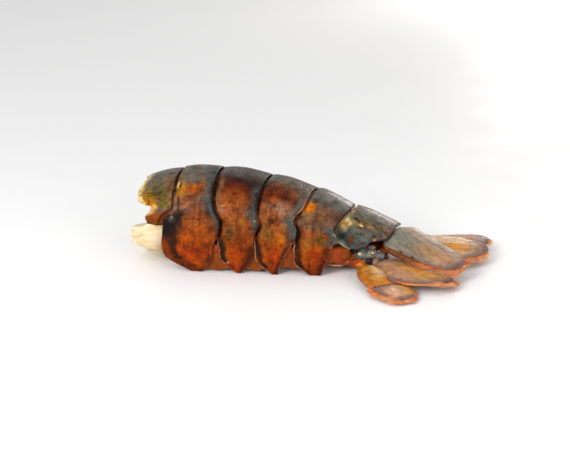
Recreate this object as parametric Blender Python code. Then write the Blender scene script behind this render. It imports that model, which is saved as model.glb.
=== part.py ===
"""Raw lobster tail in its shell, lying on its belly with the tail fan spread.

Metres, +Z up. +X runs from the cut end to the fan, and the side flaps of the
shell stand on the plane z = 0. The midline of the tail bends a little towards -Y.
"""

import math
from collections import namedtuple

import bmesh
import bpy
from mathutils import Euler, Matrix, Vector, noise

# The six rings of the shell, front to back: length of each along its hinges
RING_LENGTHS = (0.0140, 0.0192, 0.0192, 0.0183, 0.0165, 0.0198)
# Sizes at the seven borders of the rings, front to back
HALF_WIDTHS = (0.0222, 0.0238, 0.0244, 0.0239, 0.0222, 0.0195, 0.0162)
ARCH_HEIGHTS = (0.0134, 0.0155, 0.0158, 0.0142, 0.0117, 0.0083, 0.0055)
HINGE_HEIGHTS = (0.0205, 0.0226, 0.0230, 0.0220, 0.0199, 0.0168, 0.0126)
LEAN_DEGREES = (-6.0, -1.8, -0.5, 1.0, 2.8, 3.7, 4.2)
BORDERS = [sum(RING_LENGTHS[:i]) for i in range(7)]
# The midline is an arc in plan, along X at the third border. The whole is centred on X and Y.
BEND_PER_METRE = math.radians(147.0)
BEND_CENTRE = Vector((-0.019085, 0.006760, 0.0))

# Shell wall, and how a ring tucks under the one in front of it
WALL = 0.0009
TUCK_LENGTH = 0.0028
TUCK_DEPTH = 0.0018
TUCK_RISE_START = 0.0004
TUCK_RISE = 0.0026
FLAP_BULGE = 0.0008
FLAP_TUCK_IN = 0.0012
# The first two rings meet edge to edge with this gap, except over the back
BUTT_GAP = 0.0005
# The stretches of q over which a shape changes: where the first tuck ends, where the edges
# of the flaps begin, where a tucked front rises clear, and where the swell of a ring fades
FIRST_TUCK_END = (0.28, 0.47)
FLAP_EDGE_START = (0.80, 1.00)
FIRST_RISE = (0.54, 0.62)
FLAP_RISE = (1.36, 1.50)
SWELL_FADE = (0.50, 1.60)
# The first ring's sides dip under the second ring's flap over this q and this far ahead of it
DIP_START = (0.70, 0.84)
DIP_AHEAD = (0.0026, 0.0006)
DIP_LIMIT = 1.1

# Where the front and rear edge of each ring run, in millimetres behind that border of the
# ring, at these places round it: 0 on the back, 1 at the hinges, 2 at the flap's foot.
# Over the back a front edge lies tucked under the ring ahead, so only its flap is given.
EDGE_PLACES = (0.0, 0.5, 0.8, 1.0, 1.25, 1.5, 1.75, 2.0)
REAR_EDGES = (
    (1.2, 0.8, 0.4, -2.4, -2.4, -2.4, -2.4, -2.4),
    (-1.4, -0.9, 0.6, 3.2, 2.3, -0.3, -1.2, -5.5),
    (0.0, 0.0, 0.3, 1.3, -0.8, -1.1, -2.5, -7.0),
    (1.1, 0.9, -1.9, -0.2, -1.4, -4.2, -7.0, -9.0),
    (1.6, 0.3, -0.7, 0.6, -1.2, -2.8, -4.4, -6.6),
    (1.4, 0.7, -4.6, -6.2, -8.2, -9.0, -9.5, -9.8),
)
FIRST_EDGE_PLACES = (0.0, 0.25, 0.43, 0.56, 0.66, 0.73, 0.80, 0.89, 1.0, 1.5, 2.0)
FIRST_FRONT_EDGE = (2.4, 0.0, -0.9, -0.3, 2.0, 5.4, 4.4, 2.4, 3.0, 6.0, 10.5)
FLAP_FRONTS = (
    (-3.7, -4.2, -4.6, -2.2, 9.0),
    (0.7, 0.8, 2.5, 3.4, 10.3),
    (-0.7, -1.6, -0.5, 0.2, 6.9),
    (-1.7, -1.9, -1.5, -1.1, 5.5),
    (-0.9, 1.3, 3.0, 4.5, 6.0),
)
# Height of each flap's foot, and how far each ring's back swells
FLAP_FLOORS = (0.0192, 0.0, 0.0, 0.0, 0.0, 0.0118)
BACK_SWELLS = (0.0005, 0.0007, 0.0008, 0.0008, 0.0008, 0.0008)
SHELL_ROWS = (0.0, 0.07, 0.14, 0.21, 0.30, 0.44, 0.61, 0.78, 0.91, 1.0)
SHELL_COLUMNS = (
    (0.0, 0.2, 0.36, 0.5, 0.62, 0.74, 0.85, 0.95)
    + (1.06, 1.19, 1.32, 1.5, 1.7, 1.87, 2.0)
)

# The flesh inside, which swells out of the cut end
FLESH_CLEARANCE = 0.0036
FLESH_FLOOR = 0.0084
FLESH_END = 0.0110
FLESH_END_RISE = 0.0026
FLESH_REACH = 0.0068
FLESH_SAG = 0.0052
FLESH_SAG_FADE = (0.002, 0.014)
FLESH_ROUNDNESS = {"top": 0.9, "bottom": 0.7}
# Its end shrinks towards a core this far below the hinges, and is held back over these
# heights at the top, which slant across the tail, and at the bottom
FLESH_CORE = 0.0090
FLESH_BLUNTNESS = 0.36
FLESH_HOLD = 0.0060
FLESH_HOLD_FADE = 0.012
FLESH_UPPER = (-0.0062, -0.0028)
FLESH_LOWER = (-0.0112, -0.0170)
FLESH_SLANT = 0.30
FLESH_SLANT_FROM = 0.010
FLESH_LUMP = 0.0012
FLESH_PIT = 0.0034
FLESH_GRAINS = (170, 420)
FLESH_SPOKES = 24
# Stations of the flesh inside the shell: place along it, share of full size and roughness
FLESH_TAIL = ((0.0, 0.5, 0.0), (0.004, 0.85, 0.0))
FLESH_FRONT = ((0.024, 1.0, 0.0), (0.010, 1.0, 0.0), (0.005, 1.0, 0.0), (0.0015, 1.0, 0.15))
FLESH_BULGE_STEPS = 7
FLESH_BULGE_TURN = math.radians(84.6)

# The belly skin with its cross ribs
BELLY_START = 0.0190
BELLY_END = 0.0080
BELLY_END_WIDTH = 0.46
BELLY_NARROWING = (0.0100, 0.0068)
BELLY_CLEARANCE = 0.0019
BELLY_FLOOR = 0.0062
BELLY_DROP = 0.0017
BELLY_TOP = 0.0122
BELLY_SKIN = 0.0010
BELLY_UNDER_HINGE = 0.0030
BELLY_END_DIP = 0.0035
BELLY_ROWS = 25
BELLY_COLUMNS = 11
RIB_HEIGHT = 0.0008
RIB_WIDTH = (0.0006, 0.0026)

# A blade of the tail fan: sizes, then the place of its root in the fan's frame (back,
# towards +Y, up) and its turn, all at the end of the last ring
Blade = namedtuple(
    "Blade",
    "length half_width root_share widest end_bow crown fringe place yaw pitch roll",
)
TELSON = Blade(0.0352, 0.0124, 1.0, 0.0, 0.34, 0.0020, 0.0030,
               (-0.0004, -0.0004, 0.0034), -17.2, -15.6, 4.4)
INNER_BLADES = {
    "left": Blade(0.0363, 0.0112, 0.42, 0.58, 0.42, 0.0014, 0.0032,
                  (-0.0026, -0.0088, -0.0068), -24.1, -3.2, -5.2),
    "right": Blade(0.0372, 0.0116, 0.42, 0.58, 0.42, 0.0014, 0.0032,
                   (0.0000, 0.0092, -0.0054), 15.9, -2.1, 8.0),
}
OUTER_BLADES = {
    "left": Blade(0.0382, 0.0092, 0.48, 0.36, 0.34, 0.0011, 0.0034,
                  (-0.0068, -0.0132, -0.0082), -52.0, -3.8, -2.0),
    "right": Blade(0.0405, 0.0117, 0.44, 0.60, 0.34, 0.0011, 0.0034,
                   (0.0000, 0.0159, -0.0077), 36.2, -1.0, -3.2),
}
# How the middle blade narrows, how wide its root is and where it is at full width, and how
# much the other blades lose at their ends
MIDDLE_TAPER = 0.28
MIDDLE_ROOT = 0.58
MIDDLE_FULL = 0.16
TIP_LOSS = 0.30
BLADE_WALL = 0.0011
FRINGE_WALL_SHARE = 0.42
OUTER_BLADE_JOINT = 0.64
JOINT_GAP = 0.0005
KEEL_HEIGHT = 0.0003
KEEL_WIDTH = 0.16
CROWN_START = (-0.03, 0.16)
FRINGE_DROP = 0.0005
FRINGE_COLUMN = 1.3
BLADE_ROWS = 9
BLADE_COLUMNS = 8

# The stalk that carries the two blades on each side: its lumps, placed backwards, outwards
# and up from its middle, and half their sizes; then the flat feet under the belly
StalkLump = namedtuple("StalkLump", "place size")
STALK_LUMPS = (
    StalkLump((0.0006, 0.0, 0.0001), (0.0044, 0.0036, 0.0030)),
    StalkLump((-0.0036, 0.0008, -0.0008), (0.0034, 0.0026, 0.0022)),
    StalkLump((0.0044, 0.0006, 0.0009), (0.0028, 0.0022, 0.0020)),
)
STALK_BUMPS = 0.10
STALK_PLACES = {"left": (-0.0086, -0.0119, -0.0035), "right": (-0.0064, 0.0124, -0.0029)}
FEET_RINGS = (2, 3, 4, 5)
FOOT_LENGTH = 0.0125
FOOT_HALF_WIDTH = 0.0026
FOOT_WALL = 0.0008
FOOT_HEIGHT = 0.0034
FOOT_SPREAD = 0.56
FOOT_SPLAY = 0.10
FOOT_LEAF_GAP = 0.0014
SECOND_LEAF_SHARE = 0.85

SHELL_COLOUR = (0.33, 0.085, 0.016, 1.0)
FRONT_SHELL_COLOUR = (0.16, 0.15, 0.06, 1.0)
REAR_SHELL_COLOUR = (0.11, 0.15, 0.14, 1.0)
FLESH_COLOUR = (0.86, 0.78, 0.62, 1.0)
BELLY_COLOUR = (0.30, 0.07, 0.02, 1.0)
FAN_COLOUR = (0.42, 0.24, 0.10, 1.0)
TELSON_COLOUR = (0.25, 0.22, 0.14, 1.0)


def clear_scene():
    for item in list(bpy.data.objects):
        bpy.data.objects.remove(item)


def material(name, colour, roughness):
    made = bpy.data.materials.new(name)
    made.use_nodes = True
    shader = made.node_tree.nodes["Principled BSDF"]
    shader.inputs["Base Color"].default_value = colour
    shader.inputs["Roughness"].default_value = roughness
    shader.inputs["Metallic"].default_value = 0.0
    return made


def ease(low, high, x):
    """0 below low, 1 above high, smooth between."""
    t = min(max((x - low) / (high - low), 0.0), 1.0)
    return t * t * (3 - 2 * t)


def curve_through(places, values, x):
    """The value at x on a smooth curve through the values at the places."""
    last = len(places) - 1
    i = 0
    while i < last - 1 and x > places[i + 1]:
        i += 1
    span = places[i + 1] - places[i]

    def slope(k):
        before, after = max(k - 1, 0), min(k + 1, last)
        return (values[after] - values[before]) / (places[after] - places[before])

    t = min(max((x - places[i]) / span, 0.0), 1.0)
    return (
        values[i] * (1 + 2 * t) * (1 - t) ** 2
        + slope(i) * span * t * (1 - t) ** 2
        + values[i + 1] * t * t * (3 - 2 * t)
        + slope(i + 1) * span * t * t * (t - 1)
    )


def along(values, s):
    """A size at length s along the tail."""
    return curve_through(BORDERS, values, s)


def midline(s):
    """(point on the floor under the midline, direction backwards, direction to +Y)."""
    turn = (s - BORDERS[3]) * BEND_PER_METRE
    radius = 1 / BEND_PER_METRE
    point = BEND_CENTRE + radius * Vector((math.sin(turn), math.cos(turn) - 1, 0))
    back = Vector((math.cos(turn), -math.sin(turn), 0))
    return point, back, Vector((math.sin(turn), math.cos(turn), 0))


def skin_point(s, q, lift=0.0, floor=0.0):
    """A point of the shell's outer face. q is 0 on the back, 1 at the hinges and 2 at the
    lower edge of the side flaps, and negative on the -Y side. lift is along the normal."""
    side, q = math.copysign(1.0, q), abs(q)
    width, arch, hinge = (along(v, s) for v in (HALF_WIDTHS, ARCH_HEIGHTS, HINGE_HEIGHTS))
    if q <= 1:
        angle = q * math.pi / 2
        sine, cosine = math.sin(angle), max(math.cos(angle), 0.0)
        normal = Vector((sine * arch, cosine * width)).normalized()
        out, up = width * sine + lift * normal.x, arch * cosine + lift * normal.y
    else:
        down = q - 1
        bulge = FLAP_BULGE * math.sin(math.pi * down) - FLAP_TUCK_IN * down**2
        out, up = width + bulge + lift, -down * (hinge - floor)
    point, back, sideways = midline(s)
    lean = math.tan(math.radians(along(LEAN_DEGREES, s)))
    forward = max(up, 0.0) * lean
    return point + back * forward + sideways * side * out + Vector((0, 0, hinge + up))


def rear_edge(number, q):
    """Length along the midline of a ring's rear edge at q."""
    offset = curve_through(EDGE_PLACES, REAR_EDGES[number - 1], abs(q))
    return BORDERS[number] + offset / 1000


def front_edge(number, q):
    """Length along the midline of a ring's front edge at q."""
    q = abs(q)
    if number == 1:
        return curve_through(FIRST_EDGE_PLACES, FIRST_FRONT_EDGE, q) / 1000
    flap = curve_through(EDGE_PLACES[3:], FLAP_FRONTS[number - 2], q) / 1000
    flap += BORDERS[number - 1]
    under = 1 - ease(*FIRST_TUCK_END, q) if number == 2 else 1.0
    back = rear_edge(number - 1, q) - TUCK_LENGTH * under + BUTT_GAP * (1 - under)
    return back + (flap - back) * ease(*FLAP_EDGE_START, q)


def shell_lift(number, s, q):
    """How far a ring's outer face stands off the body's skin."""
    q, start = abs(q), BORDERS[number - 1]
    share = min(max((s - start) / RING_LENGTHS[number - 1], 0.0), 1.0)
    swell = BACK_SWELLS[number - 1] * math.sin(math.pi * share**0.8)
    swell *= 1 - 0.5 * ease(*SWELL_FADE, q)
    if number == 1:
        flap = front_edge(2, min(q, DIP_LIMIT))
        tucked = ease(*DIP_START, q) * ease(flap - DIP_AHEAD[0], flap - DIP_AHEAD[1], s)
        return swell * (1 - tucked) - TUCK_DEPTH * tucked
    reach = 1 - ease(*(FIRST_RISE if number == 2 else FLAP_RISE), q)
    # The last ring's flap is short, so the flap ahead is at the same height at a lower q
    depth_share = 1 - FLAP_FLOORS[number - 1] / HINGE_HEIGHTS[number - 1]
    ahead = rear_edge(number - 1, q if q < 1 else 1 + (q - 1) * depth_share)
    tucked = reach * (1 - ease(TUCK_RISE_START, TUCK_RISE, s - ahead))
    return swell * (1 - tucked) - TUCK_DEPTH * tucked


def sheet(name, grid, finish, thickness, weights=None):
    """A closed solid from a grid of points: rows of points make one face, and Solidify
    gives it thickness behind that face. weights thin the wall point by point."""
    mesh = bpy.data.meshes.new(name)
    columns = len(grid[0])
    points = [p for row in grid for p in row]
    faces = [
        (r * columns + c, (r + 1) * columns + c, (r + 1) * columns + c + 1, r * columns + c + 1)
        for r in range(len(grid) - 1)
        for c in range(columns - 1)
    ]
    mesh.from_pydata(points, [], faces)
    mesh.shade_smooth()
    made = bpy.data.objects.new(name, mesh)
    bpy.context.scene.collection.objects.link(made)
    mesh.materials.append(finish)
    wall = made.modifiers.new("wall", "SOLIDIFY")
    wall.thickness = thickness
    wall.offset = -1.0
    if weights:
        group = made.vertex_groups.new(name="wall")
        for index, weight in enumerate(w for row in weights for w in row):
            group.add([index], weight, "REPLACE")
        wall.vertex_group = group.name
        wall.thickness_vertex_group = 0.0
    return made


def make_ring(number, finish):
    """One ring of the shell: the arch over the back with its two side flaps."""
    columns = [-q for q in reversed(SHELL_COLUMNS[1:])] + list(SHELL_COLUMNS)
    grid = []
    for u in SHELL_ROWS:
        row = []
        for q in columns:
            front, rear = front_edge(number, q), rear_edge(number, q)
            s = front + (rear - front) * u
            row.append(skin_point(s, q, shell_lift(number, s, q), FLAP_FLOORS[number - 1]))
        grid.append(row)
    return sheet(f"ring_{number}", grid, finish, WALL)


def flesh_outline(s, spoke):
    """Half width, rise and drop of the flesh at s, for one spoke of its section."""
    inside = max(s, 0.0)
    width = along(HALF_WIDTHS, inside) - FLESH_CLEARANCE
    rise = along(ARCH_HEIGHTS, inside) - FLESH_CLEARANCE
    floor = FLESH_FLOOR - FLESH_SAG * (1 - ease(*FLESH_SAG_FADE, s))
    floor += FLESH_END_RISE * ease(BORDERS[4], BORDERS[6] - FLESH_END, s)
    drop = along(HINGE_HEIGHTS, inside) - floor
    angle = 2 * math.pi * spoke / FLESH_SPOKES
    sine, cosine = math.sin(angle), math.cos(angle)
    power = FLESH_ROUNDNESS["top" if cosine > 0 else "bottom"]
    out = math.copysign(abs(sine) ** power, sine) * width
    up = math.copysign(abs(cosine) ** power, cosine) * (rise if cosine > 0 else drop)
    return out, up


def flesh_ring(s, shrink, rough):
    """One closed ring of points round the flesh, held back at its top and its bottom."""
    point, back, sideways = midline(s)
    hinge = Vector((0, 0, along(HINGE_HEIGHTS, max(s, 0.0))))
    core = Vector((0, 0, -FLESH_CORE))
    hold = max(-s, 0.0) + FLESH_HOLD * (1 - ease(0.0, FLESH_HOLD_FADE, s))
    ring = []
    for spoke in range(FLESH_SPOKES):
        out, up = flesh_outline(s, spoke)
        way = sideways * out + Vector((0, 0, up)) - core
        place = core + way * shrink
        slanted = place.z + FLESH_SLANT * (out * shrink + FLESH_SLANT_FROM)
        held = ease(*FLESH_UPPER, slanted)
        held += (1 - held) * ease(*FLESH_LOWER, place.z)
        spot = Vector((out, up, s))
        lump = noise.noise(spot * FLESH_GRAINS[0]) + 0.5 * noise.noise(spot * FLESH_GRAINS[1])
        place += back * (held * hold + abs(lump) * FLESH_PIT * rough)
        place += way.normalized() * lump * FLESH_LUMP * rough
        ring.append(point + hinge + place)
    return ring


def make_flesh(finish):
    """The tail meat: it fills the shell, and its torn end swells out of the front."""
    stations = [(BORDERS[6] - FLESH_END - s, share, rough) for s, share, rough in FLESH_TAIL]
    stations += [(BORDERS[i], 1.0, 0.0) for i in (5, 4, 3, 2)]
    stations += FLESH_FRONT
    for step in range(1, FLESH_BULGE_STEPS + 1):
        angle = FLESH_BULGE_TURN * step / FLESH_BULGE_STEPS
        shrink = math.cos(angle) ** FLESH_BLUNTNESS
        stations.append((-FLESH_REACH * math.sin(angle), shrink, 1.0))
    made_mesh = bmesh.new()
    loops = []
    for s, shrink, rough in stations:
        loops.append([made_mesh.verts.new(p) for p in flesh_ring(s, shrink, rough)])
    for ahead, behind in zip(loops[1:], loops):
        for k in range(FLESH_SPOKES):
            n = (k + 1) % FLESH_SPOKES
            made_mesh.faces.new((behind[k], behind[n], ahead[n], ahead[k]))
    made_mesh.faces.new(list(reversed(loops[0])))
    made_mesh.faces.new(loops[-1])
    bmesh.ops.recalc_face_normals(made_mesh, faces=made_mesh.faces)
    bmesh.ops.triangulate(made_mesh, faces=[f for f in made_mesh.faces if len(f.verts) > 4])
    return object_from(made_mesh, "flesh", finish)


def object_from(mesh_in_progress, name, finish):
    mesh = bpy.data.meshes.new(name)
    mesh_in_progress.to_mesh(mesh)
    mesh_in_progress.free()
    mesh.shade_smooth()
    mesh.materials.append(finish)
    made = bpy.data.objects.new(name, mesh)
    bpy.context.scene.collection.objects.link(made)
    return made


def make_belly(finish):
    """The ribbed skin under the flesh, which turns up inside the side flaps."""
    end = BORDERS[6] - BELLY_END
    grid = []
    for r in range(BELLY_ROWS):
        s = BELLY_START + (end - BELLY_START) * r / (BELLY_ROWS - 1)
        point, _, sideways = midline(s)
        narrowing = ease(end - BELLY_NARROWING[0], end - BELLY_NARROWING[1], s)
        half = (along(HALF_WIDTHS, s) - BELLY_CLEARANCE) * (1 - (1 - BELLY_END_WIDTH) * narrowing)
        floor = BELLY_FLOOR - BELLY_DROP * ease(BORDERS[4], BORDERS[5], s)
        top = min(BELLY_TOP, along(HINGE_HEIGHTS, s) - BELLY_UNDER_HINGE)
        top -= BELLY_END_DIP * narrowing
        nearest = min(abs(s - border) for border in BORDERS[1:6])
        rib = RIB_HEIGHT * (1 - ease(*RIB_WIDTH, nearest))
        row = []
        for c in range(BELLY_COLUMNS):
            across = -1 + 2 * c / (BELLY_COLUMNS - 1)
            angle = across * math.pi / 2
            out = math.copysign(abs(math.sin(angle)) ** 0.5, across) * half
            up = top - (top - floor) * math.cos(angle) ** 0.6
            row.append(point + sideways * out + Vector((0, 0, up - rib * math.cos(angle))))
        grid.append(row[::-1])
    return sheet("belly", grid, finish, BELLY_SKIN)


def blade_half_width(blade, t):
    """Half width of a blade at the share t of its length, as a share of its widest."""
    if blade.widest == 0.0:
        return (1 - MIDDLE_TAPER * t) * (
            MIDDLE_ROOT + (1 - MIDDLE_ROOT) * ease(0.0, MIDDLE_FULL, t)
        )
    grow = math.sin(min(t / blade.widest, 1.0) * math.pi / 2)
    fall = TIP_LOSS * max((t - blade.widest) / (1 - blade.widest), 0.0) ** 2
    return blade.root_share + (1 - blade.root_share) * grow - fall


def blade_point(blade, t, c):
    """A point on the top of a blade in its own frame. t runs 0 to 1 from root to end,
    and past 1 on the fringe; c runs -1 to 1 across it, and past that on the fringe."""
    inner_t, inner_c = min(t, 1.0), min(max(c, -1.0), 1.0)
    half = blade.half_width * blade_half_width(blade, inner_t)
    bow = blade.end_bow * abs(inner_c) ** 2.2 * half * ease(0.3, 1.0, inner_t)
    x = inner_t * blade.length - bow
    y = inner_c * half
    rise = blade.crown * (1 - inner_c**2) * (1 - 0.5 * inner_t)
    keel = KEEL_HEIGHT * math.exp(-((inner_c / KEEL_WIDTH) ** 2)) * (1 - ease(0.75, 1.0, inner_t))
    point = Vector((x, y, (rise + keel) * ease(*CROWN_START, inner_t)))
    past_t, past_c = max(t - 1, 0.0), abs(c) - abs(inner_c)
    reach = blade.fringe * ease(0.15, 0.6, inner_t)
    spread = Vector((past_t, math.copysign(past_c, c) + past_t * inner_c * 0.5, 0))
    if spread.length > 0:
        point += spread.normalized() * reach - Vector((0, 0, FRINGE_DROP))
    return point


def blade_matrix(blade, back, sideways, origin):
    """Puts a blade's own frame in the fan's frame."""
    fan = Matrix((back, sideways, (0, 0, 1))).transposed().to_4x4()
    fan.translation = origin
    turn = Euler([math.radians(a) for a in (blade.roll, -blade.pitch, blade.yaw)], "XYZ")
    return fan @ Matrix.Translation(blade.place) @ turn.to_matrix().to_4x4()


def make_blade(name, blade, matrix, finish, start=0.0, stop=1.0):
    """A blade of the fan from the share start to the share stop of its length. Where it
    reaches the end it carries its fringe, as a thin flange."""
    rows = max(round(BLADE_ROWS * (stop - start)), 3)
    shares = [start + (stop - start) * r / rows for r in range(rows + 1)]
    if stop >= 1.0:
        shares.append(1.0 + blade.fringe / blade.length)
    columns = [-1 + 2 * c / BLADE_COLUMNS for c in range(BLADE_COLUMNS + 1)]
    columns = [-FRINGE_COLUMN] + columns + [FRINGE_COLUMN]
    grid, weights = [], []
    for t in shares:
        grid.append([blade_point(blade, t, c) for c in columns])
        weights.append([FRINGE_WALL_SHARE if t > 1 or abs(c) > 1 else 1.0 for c in columns])
    made = sheet(name, grid, finish, BLADE_WALL, weights=weights)
    made.matrix_world = matrix
    return made


def make_fan(finishes):
    """The tail fan: the middle blade, and an inner and a two-part outer one each side."""
    origin, back, sideways = midline(BORDERS[6])
    origin = origin + Vector((0, 0, HINGE_HEIGHTS[6]))
    make_blade("telson", TELSON, blade_matrix(TELSON, back, sideways, origin), finishes["telson"])
    for side in ("left", "right"):
        inner, outer = INNER_BLADES[side], OUTER_BLADES[side]
        matrix = blade_matrix(inner, back, sideways, origin)
        make_blade(f"inner_blade_{side}", inner, matrix, finishes["fan"])
        matrix = blade_matrix(outer, back, sideways, origin)
        make_blade(f"outer_blade_{side}", outer, matrix, finishes["fan"], 0.0, OUTER_BLADE_JOINT)
        after = OUTER_BLADE_JOINT + JOINT_GAP / outer.length
        make_blade(f"outer_tip_{side}", outer, matrix, finishes["fan"], after, 1.0)
        make_stalk(side, origin, back, sideways, finishes["rear_shell"])


def make_stalk(side, origin, back, sideways, finish):
    """The knuckle under the last ring that carries the two blades of one side."""
    outwards = sideways * (-1 if side == "left" else 1)
    place = Vector(STALK_PLACES[side])
    centre = origin + back * place.x + sideways * place.y + Vector((0, 0, place.z))
    lumps = []
    for number, lump in enumerate(STALK_LUMPS):
        knuckle = bmesh.new()
        bmesh.ops.create_uvsphere(knuckle, u_segments=12, v_segments=7, radius=1.0)
        for v in knuckle.verts:
            bump = 1 + STALK_BUMPS * noise.noise(v.co * 1.7 + Vector((number, 0, 0)))
            v.co = v.co * Vector(lump.size) * bump
        knuckle.transform(Matrix.Rotation(math.atan2(back.y, back.x), 4, "Z"))
        middle = centre + back * lump.place[0] + outwards * lump.place[1]
        knuckle.transform(Matrix.Translation(middle + Vector((0, 0, lump.place[2]))))
        lumps.append(object_from(knuckle, f"stalk_{side}", finish))
    return joined(*lumps)


def joined(whole, *others):
    """Joins overlapping closed solids into the first of them."""
    for other in others:
        join = whole.modifiers.new("join", "BOOLEAN")
        join.operation = "UNION"
        join.solver = "EXACT"
        join.object = other
        bpy.context.view_layer.objects.active = whole
        bpy.ops.object.modifier_apply(modifier=join.name)
        bpy.data.objects.remove(other)
    return whole


def foot_leaf(place, turn, length):
    """One leaf of a belly foot as a closed mesh: a long flat drop."""
    leaf = bmesh.new()
    bmesh.ops.create_uvsphere(leaf, u_segments=8, v_segments=6, radius=1.0)
    for v in leaf.verts:
        taper = 0.75 + 0.25 * v.co.x
        v.co = v.co * Vector((length / 2, FOOT_HALF_WIDTH * taper, FOOT_WALL))
    leaf.transform(Matrix.Rotation(turn, 4, "Z") @ Matrix.Translation((length / 2, 0, 0)))
    leaf.transform(Matrix.Translation(place))
    return leaf


def make_belly_foot(number, side, finish):
    """A swimming foot folded flat under the belly: a short stem with two leaves."""
    sign = -1 if side == "left" else 1
    s = BORDERS[number - 1] + 0.35 * RING_LENGTHS[number - 1]
    point, back, sideways = midline(s)
    out = along(HALF_WIDTHS, s) * FOOT_SPREAD * sign
    root = point + sideways * out + Vector((0, 0, FOOT_HEIGHT))
    heading = math.atan2(back.y, back.x)
    name = f"belly_foot_{number}_{side}"
    beside = root - sideways * sign * FOOT_LEAF_GAP
    splay = sign * FOOT_SPLAY
    whole = object_from(foot_leaf(root, heading + splay, FOOT_LENGTH), name, finish)
    second = foot_leaf(beside, heading - splay, FOOT_LENGTH * SECOND_LEAF_SHARE)
    return joined(whole, object_from(second, f"{name}_leaf", finish))


def main():
    clear_scene()
    shell = material("shell", SHELL_COLOUR, 0.35)
    rear_shell = material("rear_shell", REAR_SHELL_COLOUR, 0.35)
    finishes = {
        "fan": material("fan", FAN_COLOUR, 0.4),
        "telson": material("telson", TELSON_COLOUR, 0.4),
        "rear_shell": rear_shell,
    }
    make_ring(1, material("front_shell", FRONT_SHELL_COLOUR, 0.35))
    for number in range(2, 6):
        make_ring(number, shell)
    make_ring(6, rear_shell)
    make_flesh(material("flesh", FLESH_COLOUR, 0.45))
    belly = material("belly", BELLY_COLOUR, 0.4)
    make_belly(belly)
    make_fan(finishes)
    for number in FEET_RINGS:
        for side in ("left", "right"):
            make_belly_foot(number, side, belly)


main()
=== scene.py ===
"""Raw lobster tail in its shell, lying on its belly: the looks of every piece, and the stage.

Metres, +Z up. A place on the shell is (s, q): s is the length along the midline from the cut
end, and q goes round the section, 0 on the back, 1 at the hinges and 2 at the foot of a side
flap, negative on the -Y side. A place on a blade of the fan is (t, c): t is 0 at its root and
1 at its end, and c is -1 to 1 across it.
"""

import math
from collections import namedtuple

import bpy
import numpy as np
from mathutils import Euler, Matrix, Vector, noise


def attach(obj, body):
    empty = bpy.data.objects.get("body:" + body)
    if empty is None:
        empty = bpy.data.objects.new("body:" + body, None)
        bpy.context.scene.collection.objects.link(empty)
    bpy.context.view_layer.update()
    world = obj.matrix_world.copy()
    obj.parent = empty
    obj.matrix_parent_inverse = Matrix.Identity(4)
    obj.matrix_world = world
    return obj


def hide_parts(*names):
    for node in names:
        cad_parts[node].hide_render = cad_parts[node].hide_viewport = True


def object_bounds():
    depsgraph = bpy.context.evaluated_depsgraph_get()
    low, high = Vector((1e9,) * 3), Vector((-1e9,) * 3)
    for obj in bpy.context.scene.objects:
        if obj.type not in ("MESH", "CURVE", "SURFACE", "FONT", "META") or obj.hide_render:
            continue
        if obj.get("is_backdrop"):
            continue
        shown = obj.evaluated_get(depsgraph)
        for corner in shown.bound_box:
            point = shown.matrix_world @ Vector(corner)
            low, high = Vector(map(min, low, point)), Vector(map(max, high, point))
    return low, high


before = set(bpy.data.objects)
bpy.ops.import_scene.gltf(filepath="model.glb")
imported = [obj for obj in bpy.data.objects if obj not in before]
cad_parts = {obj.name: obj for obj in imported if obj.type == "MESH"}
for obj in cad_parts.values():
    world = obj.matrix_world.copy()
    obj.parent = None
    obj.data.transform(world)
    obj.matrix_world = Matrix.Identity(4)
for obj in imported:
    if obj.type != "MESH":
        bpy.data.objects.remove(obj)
cad_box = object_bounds()

bl_info = {
    "name": "Lobster Tail",
    "version": (1, 0, 0),
    "blender": (4, 5, 0),
    "location": "3D View > Sidebar > Lobster Tail",
    "description": "Builds a raw lobster tail in its shell",
    "category": "Object",
}

MM = 0.001

# The form of the tail, front to back, with the shell's sizes at its seven borders
RING_LENGTHS = (0.0140, 0.0192, 0.0192, 0.0183, 0.0165, 0.0198)
HALF_WIDTHS = (0.0222, 0.0238, 0.0244, 0.0239, 0.0222, 0.0195, 0.0162)
ARCH_HEIGHTS = (0.0134, 0.0155, 0.0158, 0.0142, 0.0117, 0.0083, 0.0055)
HINGE_HEIGHTS = (0.0205, 0.0226, 0.0230, 0.0220, 0.0199, 0.0168, 0.0126)
LEAN_DEGREES = (-6.0, -1.8, -0.5, 1.0, 2.8, 3.7, 4.2)
BORDERS = [sum(RING_LENGTHS[:i]) for i in range(7)]
BEND_PER_METRE = math.radians(147.0)
BEND_CENTRE = Vector((-0.019085, 0.006760, 0.0))

# The shell's wall, and how a ring tucks under the one in front of it
WALL = 0.0009
TUCK_LENGTH = 0.0028
TUCK_DEPTH = 0.0012
TUCK_RISE_START = 0.0004
TUCK_RISE = 0.0015
FLAP_BULGE = 0.0008
FLAP_TUCK_IN = 0.0012
BUTT_GAP = 0.0005
FIRST_TUCK_END = (0.28, 0.47)
FLAP_EDGE_START = (0.80, 1.00)
FIRST_RISE = (0.54, 0.62)
FLAP_RISE = (1.36, 1.50)
SWELL_FADE = (0.50, 1.60)
DIP_START = (0.70, 0.84)
DIP_AHEAD = (0.0026, 0.0006)
DIP_LIMIT = 1.1

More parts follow.
